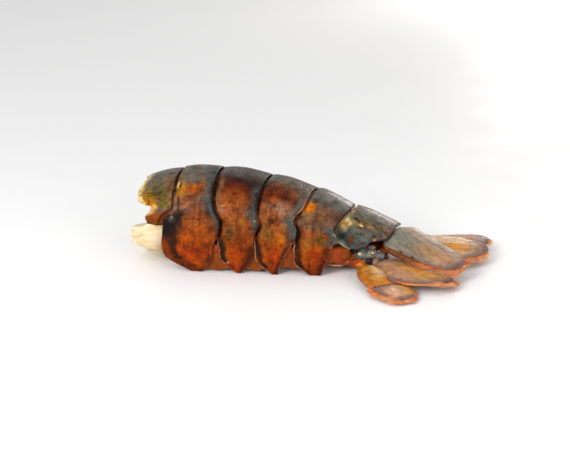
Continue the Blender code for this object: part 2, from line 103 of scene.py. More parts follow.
# Where the rings' edges run: millimetres behind the border that an edge belongs to, at these
# places q round the ring
EDGE_PLACES = (0.0, 0.5, 0.8, 1.0, 1.25, 1.5, 1.75, 2.0)
REAR_EDGES = (
    (1.2, 0.8, 0.4, -2.4, -2.4, -2.4, -2.4, -2.4),
    (-1.4, -0.9, 0.6, 3.2, 2.3, -0.3, -1.2, -5.5),
    (0.0, 0.0, 0.3, 1.3, -0.8, -1.1, -2.5, -7.0),
    (1.1, 0.9, -1.9, -0.2, -1.4, -4.2, -7.0, -9.0),
    (1.6, 0.3, -0.7, 0.6, -1.2, -2.8, -4.4, -6.6),
    (1.4, 0.7, -4.6, -6.2, -8.2, -9.0, -9.5, -9.8),
)
FIRST_EDGE_PLACES = (0.0, 0.25, 0.43, 0.56, 0.66, 0.73, 0.80, 0.89, 1.0, 1.5, 2.0)
FIRST_FRONT_EDGE = (2.4, 0.0, -0.9, -0.3, 2.0, 5.4, 4.4, 2.4, 3.0, 6.0, 10.5)
FLAP_FRONTS = (
    (-3.7, -4.2, -4.6, -2.2, 9.0),
    (0.7, 0.8, 2.5, 3.4, 10.3),
    (-0.7, -1.6, -0.5, 0.2, 6.9),
    (-1.7, -1.9, -1.5, -1.1, 5.5),
    (-0.9, 1.3, 3.0, 4.5, 6.0),
)
# The height at which each ring's sides end, and how far its back swells
FLAP_FLOORS = (0.0192, 0.0, 0.0, 0.0, 0.0, 0.0118)
BACK_SWELLS = (0.0005, 0.0007, 0.0008, 0.0008, 0.0008, 0.0008)

# The flesh inside, which swells out of the cut end
FLESH_CLEARANCE = 0.0036
FLESH_FLOOR = 0.0084
FLESH_END = 0.0110
FLESH_END_RISE = 0.0026
FLESH_REACH = 0.0056
FLESH_BULGE_TURN = math.radians(89.0)
FLESH_SAG = 0.0052
FLESH_SAG_FADE = (0.002, 0.014)
FLESH_ROUNDNESS = {"top": 0.9, "bottom": 0.7}
FLESH_CORE = 0.0090
FLESH_BLUNTNESS = 0.36
FLESH_HOLD = 0.0060
FLESH_HOLD_FADE = 0.012
FLESH_UPPER = (-0.0062, -0.0028)
FLESH_SLANT = 0.30
FLESH_SLANT_FROM = 0.010
FLESH_LOWER = (-0.0112, -0.0170)
FLESH_LUMP = 0.0022
FLESH_PIT = 0.0038
FLESH_GRAINS = (170, 420)
# Its loops of points: the first and the last place of each run, and how many loops it has
FLESH_RUNS = ((BORDERS[5], 0.010, 18), (0.009, 0.004, 8))
FLESH_LIP = (0.0035, 0.0005, 8)
# The loops that close its front, as shares of the full section
FLESH_FACE = (0.215, 0.015, 14)

# The belly skin with its cross ribs
BELLY_START = 0.0190
BELLY_END = 0.0080
BELLY_END_WIDTH = 0.46
BELLY_NARROWING = (0.0100, 0.0068)
BELLY_CLEARANCE = 0.0019
BELLY_FLOOR = 0.0062
BELLY_DROP = 0.0017
BELLY_TOP = 0.0122
BELLY_SKIN = 0.0010
BELLY_UNDER_HINGE = 0.0030
BELLY_END_DIP = 0.0035
RIB_HEIGHT = 0.0008
RIB_WIDTH = (0.0006, 0.0026)
BELLY_ROUNDNESS = {"side": 0.5, "bottom": 0.6}

# The blades of the fan: sizes, place of the root and turn in degrees, in the fan's own frame.
# root_share is the width at the root as a share of the greatest, and widest is where along the
# blade it is widest, 0.0 for the middle blade, which narrows all the way.
Blade = namedtuple(
    "Blade",
    "length half_width root_share widest end_bow crown fringe place yaw pitch roll",
)
TELSON = Blade(0.0352, 0.0124, 1.0, 0.0, 0.34, 0.0020, 0.0030,
               (-0.0004, -0.0004, 0.0034), -17.2, -15.6, 4.4)
INNER_BLADES = {
    "left": Blade(0.0363, 0.0112, 0.42, 0.58, 0.42, 0.0014, 0.0032,
                  (-0.0026, -0.0088, -0.0068), -24.1, -3.2, -5.2),
    "right": Blade(0.0372, 0.0116, 0.42, 0.58, 0.42, 0.0014, 0.0032,
                   (0.0000, 0.0092, -0.0054), 15.9, -2.1, 8.0),
}
OUTER_BLADES = {
    "left": Blade(0.0382, 0.0092, 0.48, 0.36, 0.34, 0.0011, 0.0034,
                  (-0.0068, -0.0132, -0.0082), -52.0, -3.8, -2.0),
    "right": Blade(0.0405, 0.0117, 0.44, 0.60, 0.34, 0.0011, 0.0034,
                   (0.0000, 0.0159, -0.0077), 36.2, -1.0, -3.2),
}
MIDDLE_TAPER = 0.28
MIDDLE_ROOT = 0.58
MIDDLE_FULL = 0.16
TIP_LOSS = 0.30
BLADE_WALL = 0.0011
OUTER_BLADE_JOINT = 0.64
JOINT_GAP = 0.0005
KEEL_HEIGHT = 0.0003
KEEL_WIDTH = 0.16
CROWN_START = (-0.03, 0.16)

# The stalks of the fan, and the flat feet under the belly with two leaves each
STALK_PLACES = {"left": (-0.0086, -0.0119, -0.0035), "right": (-0.0064, 0.0124, -0.0029)}
FEET_RINGS = (2, 3, 4, 5)
FOOT_LENGTH = 0.0125
FOOT_HALF_WIDTH = 0.0026
FOOT_WALL = 0.0008
FOOT_HEIGHT = 0.0034
FOOT_SPREAD = 0.56
FOOT_SPLAY = 0.10
FOOT_LEAF_GAP = 0.0014
SECOND_LEAF_SHARE = 0.85
FOOT_SPOKES = 24

# The sign of Y on either side
SIDES = {"left": -1, "right": 1}


def tone(red, green, blue):
    """A colour in linear light, from the 0 to 255 numbers that a paint chart gives."""
    shares = (np.array((red, green, blue)) / 255).astype(float)
    return np.where(shares <= 0.04045, shares / 12.92, ((shares + 0.055) / 1.055) ** 2.4)


TONES = {
    "slate": tone(122, 119, 110),
    "blue_grey": tone(98, 100, 100),
    "teal": tone(92, 104, 102),
    "grey_olive": tone(128, 116, 90),
    "olive": tone(112, 100, 46),
    "moss": tone(96, 94, 40),
    "taupe": tone(142, 108, 84),
    "tan": tone(160, 98, 52),
    "brown": tone(124, 72, 30),
    "dark_brown": tone(70, 38, 18),
    "burnt_orange": tone(150, 82, 12),
    "ochre_brown": tone(164, 102, 26),
    "orange": tone(176, 96, 10),
    "orange_red": tone(168, 74, 6),
    "rust": tone(124, 58, 12),
    "dark_rust": tone(92, 42, 12),
    # band is a near-black brown: painted shade in the dark bands at the flaps' fronts, and also a
    # dark tone of the rings and stalks
    "band": tone(58, 38, 24),
    "blue_black": tone(32, 30, 34),
    "ochre": tone(190, 136, 30),
    "amber": tone(214, 134, 10),
    "cream": tone(238, 214, 156),
    "bone": tone(216, 196, 158),
    "pink_rim": tone(196, 152, 132),
    "dark_red": tone(78, 30, 14),
    "purple_grey": tone(112, 92, 88),
    "flesh_white": tone(232, 216, 186),
    "flesh_yellow": tone(214, 180, 120),
    "blade_grey": tone(124, 120, 106),
    "blade_tan": tone(160, 126, 94),
    "blade_pink": tone(206, 148, 114),
    "blade_yellow": tone(200, 142, 66),
    "pink_grey": tone(184, 158, 136),
    "blade_orange": tone(196, 104, 20),
    "blade_pale": tone(222, 190, 154),
    "blade_rim": tone(118, 92, 86),
    "fringe_orange": tone(240, 130, 66),
    "fringe_pale": tone(255, 182, 132),
    "fringe_red": tone(150, 68, 22),
    "fringe_dark": tone(86, 50, 18),
    "skin_brown": tone(150, 84, 34),
    "belly_red": tone(140, 56, 16),
    "belly_orange": tone(184, 90, 32),
    "foot_pale": tone(206, 150, 108),
}


def ease(low, high, x):
    """0 below low, 1 above high, smooth between."""
    t = np.clip((np.asarray(x, float) - low) / (high - low), 0.0, 1.0)
    return t * t * (3 - 2 * t)


def window(low, high, fade, x):
    """1 between low and high, 0 outside, with soft sides."""
    return ease(low - fade, low + fade, x) * (1 - ease(high - fade, high + fade, x))


def curve_through(places, values, x):
    """The value at x on a smooth curve through the values at the places."""
    places, values = np.asarray(places, float), np.asarray(values, float)
    slopes = np.empty_like(values)
    slopes[1:-1] = (values[2:] - values[:-2]) / (places[2:] - places[:-2])
    slopes[0] = (values[1] - values[0]) / (places[1] - places[0])
    slopes[-1] = (values[-1] - values[-2]) / (places[-1] - places[-2])
    i = np.clip(np.searchsorted(places, x, side="left") - 1, 0, len(places) - 2)
    span = places[i + 1] - places[i]
    t = np.clip((x - places[i]) / span, 0.0, 1.0)
    return (
        values[i] * (1 + 2 * t) * (1 - t) ** 2
        + slopes[i] * span * t * (1 - t) ** 2
        + values[i + 1] * t * t * (3 - 2 * t)
        + slopes[i + 1] * span * t * t * (t - 1)
    )


def along(values, s):
    """The value at s, from its values at the seven borders."""
    return curve_through(BORDERS, values, s)


def vectors(x, y, z):
    """Points or directions of these coordinates, any of which may be one number."""
    return np.stack(np.broadcast_arrays(x, y, z), axis=-1).astype(float)


def unit(v):
    return v / np.maximum(np.linalg.norm(v, axis=-1, keepdims=True), 1e-12)


def midline(s):
    """(point on the floor under the midline, direction backwards, direction to +Y)."""
    turn = (np.asarray(s, float) - BORDERS[3]) * BEND_PER_METRE
    sine, cosine = np.sin(turn), np.cos(turn)
    point = np.array(BEND_CENTRE) + vectors(sine, cosine - 1, 0) / BEND_PER_METRE
    return point, vectors(cosine, -sine, 0), vectors(sine, cosine, 0)


def skin_point(s, q, lift, floor):
    """Points of the shell's outer face, lifted along its normal."""
    side, q = np.sign(q), np.abs(q)
    width, arch, hinge = (along(v, s) for v in (HALF_WIDTHS, ARCH_HEIGHTS, HINGE_HEIGHTS))
    sine, cosine = np.sin(np.minimum(q, 1) * math.pi / 2), np.cos(np.minimum(q, 1) * math.pi / 2)
    size = np.hypot(sine * arch, cosine * width)
    down = np.maximum(q - 1, 0)
    bulge = FLAP_BULGE * np.sin(math.pi * down) - FLAP_TUCK_IN * down**2
    out = width * sine + bulge + lift * sine * arch / size
    up = arch * np.maximum(cosine, 0) + lift * cosine * width / size - down * (hinge - floor)
    point, back, sideways = midline(s)
    forward = np.maximum(up, 0) * np.tan(np.radians(along(LEAN_DEGREES, s)))
    place = point + back * forward[..., None] + sideways * (side * out)[..., None]
    place[..., 2] += hinge + up
    return place


def rear_edge(number, q):
    """Where a ring's rear edge runs, as s at each q."""
    return BORDERS[number] + curve_through(EDGE_PLACES, REAR_EDGES[number - 1], np.abs(q)) * MM


def front_edge(number, q):
    """Where a ring's front edge runs, as s at each q."""
    q = np.abs(q)
    if number == 1:
        return curve_through(FIRST_EDGE_PLACES, FIRST_FRONT_EDGE, q) * MM
    flap = BORDERS[number - 1] + curve_through(EDGE_PLACES[3:], FLAP_FRONTS[number - 2], q) * MM
    under = 1 - ease(*FIRST_TUCK_END, q) if number == 2 else 1.0
    back = rear_edge(number - 1, q) - TUCK_LENGTH * under + BUTT_GAP * (1 - under)
    return back + (flap - back) * ease(*FLAP_EDGE_START, q)


def shell_lift(number, s, q):
    """How far a ring's outer face stands off the body's skin."""
    q, start = np.abs(q), BORDERS[number - 1]
    share = np.clip((s - start) / RING_LENGTHS[number - 1], 0.0, 1.0)
    swell = BACK_SWELLS[number - 1] * np.sin(math.pi * share**0.8)
    swell = swell * (1 - 0.5 * ease(*SWELL_FADE, q))
    if number == 1:
        flap = front_edge(2, np.minimum(q, DIP_LIMIT))
        tucked = ease(*DIP_START, q) * (1 - ease(DIP_AHEAD[1], DIP_AHEAD[0], flap - s))
        return swell * (1 - tucked) - TUCK_DEPTH * tucked
    reach = 1 - ease(*(FIRST_RISE if number == 2 else FLAP_RISE), q)
    depth_share = 1 - FLAP_FLOORS[number - 1] / HINGE_HEIGHTS[number - 1]
    ahead = rear_edge(number - 1, np.where(q < 1, q, 1 + (q - 1) * depth_share))
    tucked = reach * (1 - ease(TUCK_RISE_START, TUCK_RISE, s - ahead))
    return swell * (1 - tucked) - TUCK_DEPTH * tucked


LATTICE_SIDE = 48
LATTICE = np.random.default_rng(20).random((LATTICE_SIDE,) * 3) * 2 - 1


def cloud(points, size, shift=0.0):
    """Smooth noise from -1 to 1 at the points, with features of that size."""
    place = np.asarray(points, float) / size + shift + 1000.0
    cell = np.floor(place).astype(int)
    t = place - cell
    t = t * t * (3 - 2 * t)
    total = np.zeros(place.shape[:-1])
    for corner in np.ndindex(2, 2, 2):
        weight = np.ones(place.shape[:-1])
        for axis in range(3):
            weight = weight * (t[..., axis] if corner[axis] else 1 - t[..., axis])
        i, j, k = ((cell[..., a] + corner[a]) % LATTICE_SIDE for a in range(3))
        total += weight * LATTICE[i, j, k]
    return total


def layered(points, size, shift=0.0):
    """Noise of three sizes, each half the size and strength of the one before."""
    return sum(cloud(points, size / 2**n, shift + 7.3 * n) / 2**n for n in range(3)) / 1.75


def grid_normals(grid):
    """Unit normals of a grid: the way along its rows, crossed with the way down its columns."""
    down = np.gradient(grid, axis=0)
    across = np.gradient(grid, axis=1)
    return unit(np.cross(across, down))


def mix(colours, new, weight):
    """The colours, changed towards a new one by the weight at each place."""
    weight = np.clip(weight, 0.0, 1.0)[..., None]
    return colours * (1 - weight) + np.asarray(new) * weight


def tinged(colours, gain, weight):
    """The colours times the gain, by the weight at each place."""
    return mix(colours, colours * gain, weight)


def tones_along(places, names, x):
    """Colours at x, passing smoothly through the named tones at the places."""
    values = np.array([TONES[name] for name in names])
    return np.stack([np.interp(x, places, values[:, k]) for k in range(3)], axis=-1)


def finish_mesh(name, points, faces, finish, tints=None):
    """Makes a smooth mesh object of one finish, with a tint at each of its points."""
    mesh = bpy.data.meshes.new(name)
    mesh.from_pydata(points.reshape(-1, 3), [], faces)
    mesh.shade_smooth()
    mesh.materials.append(finish)
    if tints is not None:
        layer = mesh.color_attributes.new("tint", "FLOAT_COLOR", "POINT")
        colours = np.ones((len(mesh.vertices), 4), np.float32)
        colours[:, :3] = np.clip(tints.reshape(-1, 3), 0, 1)
        layer.data.foreach_set("color", colours.ravel())
    made = bpy.data.objects.new(name, mesh)
    bpy.context.scene.collection.objects.link(made)
    return made


def place_piece(piece, slot, *nodes):
    """Fixes a finished piece to the tail, in the place of the named solids."""
    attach(piece, "root")
    if nodes:
        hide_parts(*nodes)


def joined(forms):
    """The points, faces and tints of several forms as those of one mesh."""
    points, faces, tints, base = [], [], [], 0
    for form, form_faces, colours in forms:
        points.append(form.reshape(-1, 3))
        tints.append(np.broadcast_to(colours, form.shape).reshape(-1, 3))
        faces += [tuple(i + base for i in face) for face in form_faces]
        base += len(points[-1])
    return np.concatenate(points), faces, np.concatenate(tints)


def turned(points, heading, place):
    """The points turned round +Z and moved to a place."""
    return points @ np.array(Matrix.Rotation(heading, 3, "Z")).T + np.array(place)


def strip_faces(rows, columns, first, closed=False):
    """Quads over a grid of points that starts at that index."""
    wide = columns if closed else columns - 1
    r, c = np.meshgrid(np.arange(rows - 1), np.arange(wide), indexing="ij")
    n = (c + 1) % columns
    corners = (r * columns + c, r * columns + n, (r + 1) * columns + n, (r + 1) * columns + c)
    return np.stack(corners, axis=-1).reshape(-1, 4) + first


def sheet_faces(rows, columns, kept):
    """Faces of a closed sheet: an outer grid, an inner one with only the kept rows, and the
    four edges between them. The outer grid comes first."""
    start = rows * columns
    faces = strip_faces(rows, columns, 0)[:, ::-1].tolist()
    faces += strip_faces(len(kept), columns, start).tolist()
    last, inner_last = (rows - 1) * columns, start + (len(kept) - 1) * columns
    for c in range(columns - 1):
        faces.append((c, c + 1, start + c + 1, start + c))
        faces.append((last + c + 1, last + c, inner_last + c, inner_last + c + 1))
    for c, flipped in ((0, False), (columns - 1, True)):
        j = 0
        for r in range(rows - 1):
            inner = start + j * columns + c
            face = (r * columns + c, inner, (r + 1) * columns + c)
            faces.append(face[::-1] if flipped else face)
            if r + 1 == kept[j + 1]:
                face = ((r + 1) * columns + c, inner, inner + columns)
                faces.append(face[::-1] if flipped else face)
                j += 1
    return faces


def closed_tube(loops):
    """Points and faces of a tube through closed loops, each end closed to its middle."""
    rows, columns = loops.shape[:2]
    points = np.concatenate([loops.reshape(-1, 3), [loops[0].mean(0)], [loops[-1].mean(0)]])
    faces = strip_faces(rows, columns, 0, True)[:, ::-1].tolist()
    middle, last = rows * columns, (rows - 1) * columns
    for k in range(columns):
        n = (k + 1) % columns
        faces.append((middle, k, n))
        faces.append((middle + 1, last + n, last + k))
    return points, faces


def closed_sheet(name, grid, normals, wall, edge, finish, tints, under, spare_rows=6):
    """A closed sheet with round edges. edge is each point's distance to the nearest edge,
    and under is the tint of its hidden face, which has only every so many of the rows."""
    rows, columns = grid.shape[:2]
    kept = sorted(set(range(0, rows, spare_rows)) | {0, rows - 1})
    reach = np.clip(edge / (wall / 2), 0.0, 1.0)
    half = wall / 2 * np.sqrt(np.clip(1 - (1 - reach) ** 2, 0.0, 1.0))
    middle = grid - normals * wall / 2
    outer = middle + normals * half[..., None]
    inner = (middle - normals * half[..., None])[kept]
    points = np.concatenate([outer.reshape(-1, 3), inner.reshape(-1, 3)])
    inner_tints = np.broadcast_to(under, inner.shape)
    tints = np.concatenate([tints.reshape(-1, 3), inner_tints.reshape(-1, 3)])
    return finish_mesh(name, points, sheet_faces(rows, columns, kept), finish, tints)


def spaced(count, edge_steps):
    """Shares from 0 to 1, with extra ones close to both ends so that an edge can be round."""
    inner = np.linspace(0, 1, count)
    return np.unique(np.concatenate([inner, edge_steps, 1 - np.asarray(edge_steps)]))


class Nodes:
    """Short hand for building a material's node tree."""

    def __init__(self, name):
        self.material = bpy.data.materials.new(name)
        self.material.use_nodes = True
        self.tree = self.material.node_tree
        self.shader = self.tree.nodes["Principled BSDF"]
        self.place = self.add("ShaderNodeTexCoord").outputs["Object"]

    def add(self, kind, **settings):
        node = self.tree.nodes.new(kind)
        for key, value in settings.items():
            setattr(node, key, value)
        return node

    def join(self, source, socket):
        self.tree.links.new(source, socket)

    def feed(self, socket, value):
        """Gives a socket another node's output, or a constant."""
        if isinstance(value, bpy.types.NodeSocket):
            self.join(value, socket)
        else:
            socket.default_value = value

    def noise(self, size, detail=3.0, rough=0.55, stretch=None):
        """Noise from 0 to 1 with features of that size in metres."""
        node = self.add("ShaderNodeTexNoise")
        node.inputs["Scale"].default_value = 1 / size
        node.inputs["Detail"].default_value = detail
        node.inputs["Roughness"].default_value = rough
        place = self.place
        if stretch:
            scaled = self.add("ShaderNodeMapping")
            scaled.inputs["Scale"].default_value = stretch
            self.join(place, scaled.inputs["Vector"])
            place = scaled.outputs["Vector"]
        self.join(place, node.inputs["Vector"])
        return node.outputs["Fac"]

    def cells(self, size):
        """Distance from the middle of each small cell, in cell sizes."""
        node = self.add("ShaderNodeTexVoronoi")
        node.inputs["Scale"].default_value = 1 / size
        self.join(self.place, node.inputs["Vector"])
        return node.outputs["Distance"]

    def span(self, value, low, high, to_low=0.0, to_high=1.0):
        """The value's range from low to high, stretched to another range."""
        node = self.add("ShaderNodeMapRange", interpolation_type="SMOOTHSTEP")
        self.join(value, node.inputs["Value"])
        numbers = {"From Min": low, "From Max": high, "To Min": to_low, "To Max": to_high}
        for key, number in numbers.items():
            node.inputs[key].default_value = number
        return node.outputs["Result"]

    def rough(self, size, least, most):
        """A roughness between the two numbers, in patches of that size."""
        return self.span(self.noise(size, 3.0, 0.6), 0.35, 0.68, least, most)

    def product(self, first, second):
        node = self.add("ShaderNodeMath", operation="MULTIPLY")
        self.join(first, node.inputs[0])
        self.join(second, node.inputs[1])
        return node.outputs[0]

    def mixed(self, weight, first, second, blend="MIX"):
        node = self.add("ShaderNodeMix", data_type="RGBA", blend_type=blend)
        self.feed(node.inputs["Factor"], weight)
        self.feed(node.inputs["A"], first)
        self.feed(node.inputs["B"], second)
        return node.outputs["Result"]

    def times(self, colour, gain, weight):
        """The colour times the gain, by the weight."""
        return self.mixed(weight, colour, (*gain, 1.0), "MULTIPLY")

    def mottled(self, colour, value, low, high, gain, strength=1.0):
        """The colour times the gain, more and more as the value goes from low to high."""
        return self.times(colour, gain, self.span(value, low, high, 0.0, strength))

    def tint(self):
        """The colour painted at the points of the mesh."""
        return self.add("ShaderNodeVertexColor", layer_name="tint").outputs["Color"]

    def bump(self, height, distance, strength, over=None):
        """A normal that shows the height as relief, over another such normal."""
        node = self.add("ShaderNodeBump")
        node.inputs["Distance"].default_value = distance
        node.inputs["Strength"].default_value = strength
        self.join(height, node.inputs["Height"])
        if over:
            self.join(over, node.inputs["Normal"])
        return node.outputs["Normal"]

    def shine(self, **sockets):
        """Sets constants on the shader's own sockets, such as coat_weight=0.5."""
        for key, value in sockets.items():
            socket = key.replace("_", " ").title().replace("Ior", "IOR")
            self.shader.inputs[socket].default_value = value

    def done(self, colour, roughness, normal):
        """The finished material."""
        self.feed(self.shader.inputs["Base Color"], colour)
        self.feed(self.shader.inputs["Roughness"], roughness)
        self.join(normal, self.shader.inputs["Normal"])
        return self.material


WATER_IOR = 1.33


def shell_finish(name, pits, speckle, wetness):
    """Wet shell: pitted, mottled and speckled over the tints painted on it."""
    nodes = Nodes(name)
    broad = nodes.noise(0.0034, 4.0, 0.6)
    fine = nodes.noise(0.0009, 3.0, 0.6)
    grain = nodes.noise(0.00032, 2.0, 0.5)
    colour = nodes.mottled(nodes.tint(), broad, 0.48, 0.74, (1.45, 1.35, 1.2))
    colour = nodes.mottled(colour, broad, 0.50, 0.26, (0.55, 0.50, 0.45))
    colour = nodes.mottled(colour, fine, 0.50, 0.74, (1.45, 1.40, 1.35))
    colour = nodes.mottled(colour, fine, 0.50, 0.28, (0.62, 0.58, 0.52))
    colour = nodes.mottled(colour, grain, 0.42, 0.64, (1.22, 1.20, 1.18))
    dots = nodes.span(nodes.cells(0.0012), 0.24, 0.12, 0.0, speckle)
    some = nodes.span(nodes.noise(0.0024, 2.0, 0.5), 0.52, 0.62)
    colour = nodes.times(colour, (0.35, 0.30, 0.28), nodes.product(dots, some))
    dents = nodes.span(nodes.cells(0.0010), 0.0, 0.42)
    normal = nodes.bump(dents, 0.00007, pits)
    normal = nodes.bump(fine, 0.00014, 0.6, normal)
    normal = nodes.bump(broad, 0.0005, 0.4, normal)
    nodes.shine(specular_ior_level=0.06)
    nodes.shine(coat_weight=wetness, coat_roughness=0.12, coat_ior=WATER_IOR)
    return nodes.done(colour, nodes.rough(0.0016, 0.30, 0.52), normal)


def blade_finish(name, wetness):
    """Thin wet blades: mottled, grainy, and a little see-through."""
    nodes = Nodes(name)
    broad = nodes.noise(0.0030, 3.0, 0.6)
    fine = nodes.noise(0.0008, 3.0, 0.6)
    colour = nodes.mottled(nodes.tint(), broad, 0.48, 0.72, (1.18, 1.14, 1.08))
    colour = nodes.mottled(colour, broad, 0.50, 0.28, (0.72, 0.66, 0.58))
    colour = nodes.mottled(colour, fine, 0.50, 0.28, (0.72, 0.68, 0.62))
    normal = nodes.bump(fine, 0.00012, 0.5)
    normal = nodes.bump(broad, 0.0004, 0.35, normal)
    nodes.shine(specular_ior_level=0.05)
    nodes.shine(coat_weight=wetness, coat_roughness=0.14, coat_ior=WATER_IOR)
    nodes.shine(subsurface_weight=0.10, subsurface_scale=0.0010, subsurface_radius=(1.0, 0.45, 0.25))
    return nodes.done(colour, nodes.rough(0.0018, 0.34, 0.54), normal)


def fringe_finish(name):
    """Soft hairs of the fan's fringe."""
    nodes = Nodes(name)
    broad = nodes.noise(0.0016, 3.0, 0.6)
    colour = nodes.mottled(nodes.tint(), broad, 0.50, 0.34, (0.72, 0.56, 0.46))
    normal = nodes.bump(nodes.noise(0.0004, 2.0, 0.5), 0.00005, 0.4)
    nodes.shine(specular_ior_level=0.08)
    nodes.shine(subsurface_weight=0.20, subsurface_scale=0.0010, subsurface_radius=(1.0, 0.5, 0.3))
    return nodes.done(colour, nodes.span(broad, 0.3, 0.7, 0.45, 0.6), normal)


def flesh_finish(name):
    """Raw meat: moist, white to cream, with fine strands and light passing into it."""
    nodes = Nodes(name)
    strands = nodes.noise(0.0012, 4.0, 0.6, (0.22, 1.0, 1.0))
    broad = nodes.noise(0.0045, 3.0, 0.55)
    cream = (*TONES["flesh_yellow"], 1.0)
    colour = nodes.mixed(nodes.span(broad, 0.48, 0.70, 0.0, 0.45), nodes.tint(), cream)
    colour = nodes.mottled(colour, strands, 0.50, 0.32, (0.86, 0.80, 0.70), 0.5)
    normal = nodes.bump(strands, 0.0004, 0.6)
    normal = nodes.bump(nodes.noise(0.0006, 3.0, 0.6), 0.00010, 0.5, normal)
    nodes.shine(specular_ior_level=0.35)
    nodes.shine(coat_weight=0.25, coat_roughness=0.15, coat_ior=WATER_IOR)
    nodes.shine(subsurface_weight=0.45, subsurface_scale=0.0030, subsurface_radius=(1.0, 0.75, 0.5))
    return nodes.done(colour, nodes.rough(0.0014, 0.30, 0.50), normal)


def belly_finish(name):
    """Moist belly skin, wrinkled and reddish brown."""
    nodes = Nodes(name)
    broad = nodes.noise(0.0026, 4.0, 0.6)
    wrinkles = nodes.noise(0.0010, 4.0, 0.65, (1.6, 0.6, 1.0))
    colour = nodes.mottled(nodes.tint(), broad, 0.50, 0.70, (1.7, 1.6, 1.3))
    colour = nodes.mottled(colour, wrinkles, 0.50, 0.30, (0.50, 0.40, 0.35))
    normal = nodes.bump(wrinkles, 0.0004, 0.7)
    nodes.shine(specular_ior_level=0.08)
    nodes.shine(coat_weight=0.14, coat_roughness=0.14, coat_ior=WATER_IOR)
    nodes.shine(subsurface_weight=0.10, subsurface_scale=0.0010)
    return nodes.done(colour, nodes.rough(0.0012, 0.30, 0.52), normal)


# How the rings are painted. Zone: its tone and strength, the edge it is measured from, its
# start, end and softness in millimetres, its start, end and softness round the ring, and how
# far it stands up in millimetres. "body" is measured back from the border ahead of the ring.
Zone = namedtuple("Zone", "tone strength edge start end fade low high soft height", defaults=(0.0,))
# Spot: its tone and strength, millimetres behind the border, place round the ring, half its
# length in millimetres, half its width round the ring, and its height in millimetres
Spot = namedtuple("Spot", "tone strength back around length width height", defaults=(0.0,))

# Tones down each ring's side: places round it, then tones near its front, middle and rear
RING_TONES = {
    1: (
        (0.0, 0.35, 0.55, 0.75, 0.86, 1.0),
        "slate grey_olive olive ochre tan brown",
        "slate grey_olive moss olive brown burnt_orange",
        "slate taupe taupe taupe brown brown",
    ),
    2: (
        (0.0, 0.3, 0.48, 0.65, 0.85, 1.0, 1.3, 1.6, 2.0),
        "slate grey_olive ochre taupe taupe brown burnt_orange orange burnt_orange",
        "slate taupe tan taupe tan tan orange orange_red orange",
        "blue_grey blue_grey taupe blue_grey band brown burnt_orange rust brown",
    ),
    # On rings 3 and 4 the dark brown high on the back, near q 0.26, is partly the shell's own brown
    # and partly a painted cast shadow
    3: (
        (0.0, 0.26, 0.46, 0.62, 0.82, 1.0, 1.3, 1.65, 2.0),
        "slate brown brown tan tan brown burnt_orange orange orange_red",
        "slate dark_brown rust tan tan tan burnt_orange orange orange_red",
        "slate dark_brown dark_rust brown blue_grey brown burnt_orange rust rust",
    ),
    4: (
        (0.0, 0.26, 0.45, 0.62, 0.82, 1.0, 1.3, 1.65, 2.0),
        "slate dark_brown rust rust tan tan burnt_orange orange rust",
        "slate brown rust taupe tan tan ochre_brown orange orange_red",
        "slate taupe purple_grey taupe slate blue_grey burnt_orange rust rust",
    ),
    5: (
        (0.0, 0.26, 0.4, 0.65, 0.85, 1.0, 1.25, 1.6, 2.0),
        "slate slate amber taupe brown brown burnt_orange burnt_orange rust",
        "slate slate taupe taupe taupe tan ochre_brown orange rust",
        "slate slate taupe taupe blue_grey band burnt_orange rust dark_rust",
    ),
    6: (
        (0.0, 0.3, 0.45, 0.6, 0.8, 1.0, 2.0),
        "taupe grey_olive bone grey_olive slate teal bone",
        "slate grey_olive grey_olive slate teal teal teal",
        "slate taupe slate slate teal purple_grey teal",
    ),
}
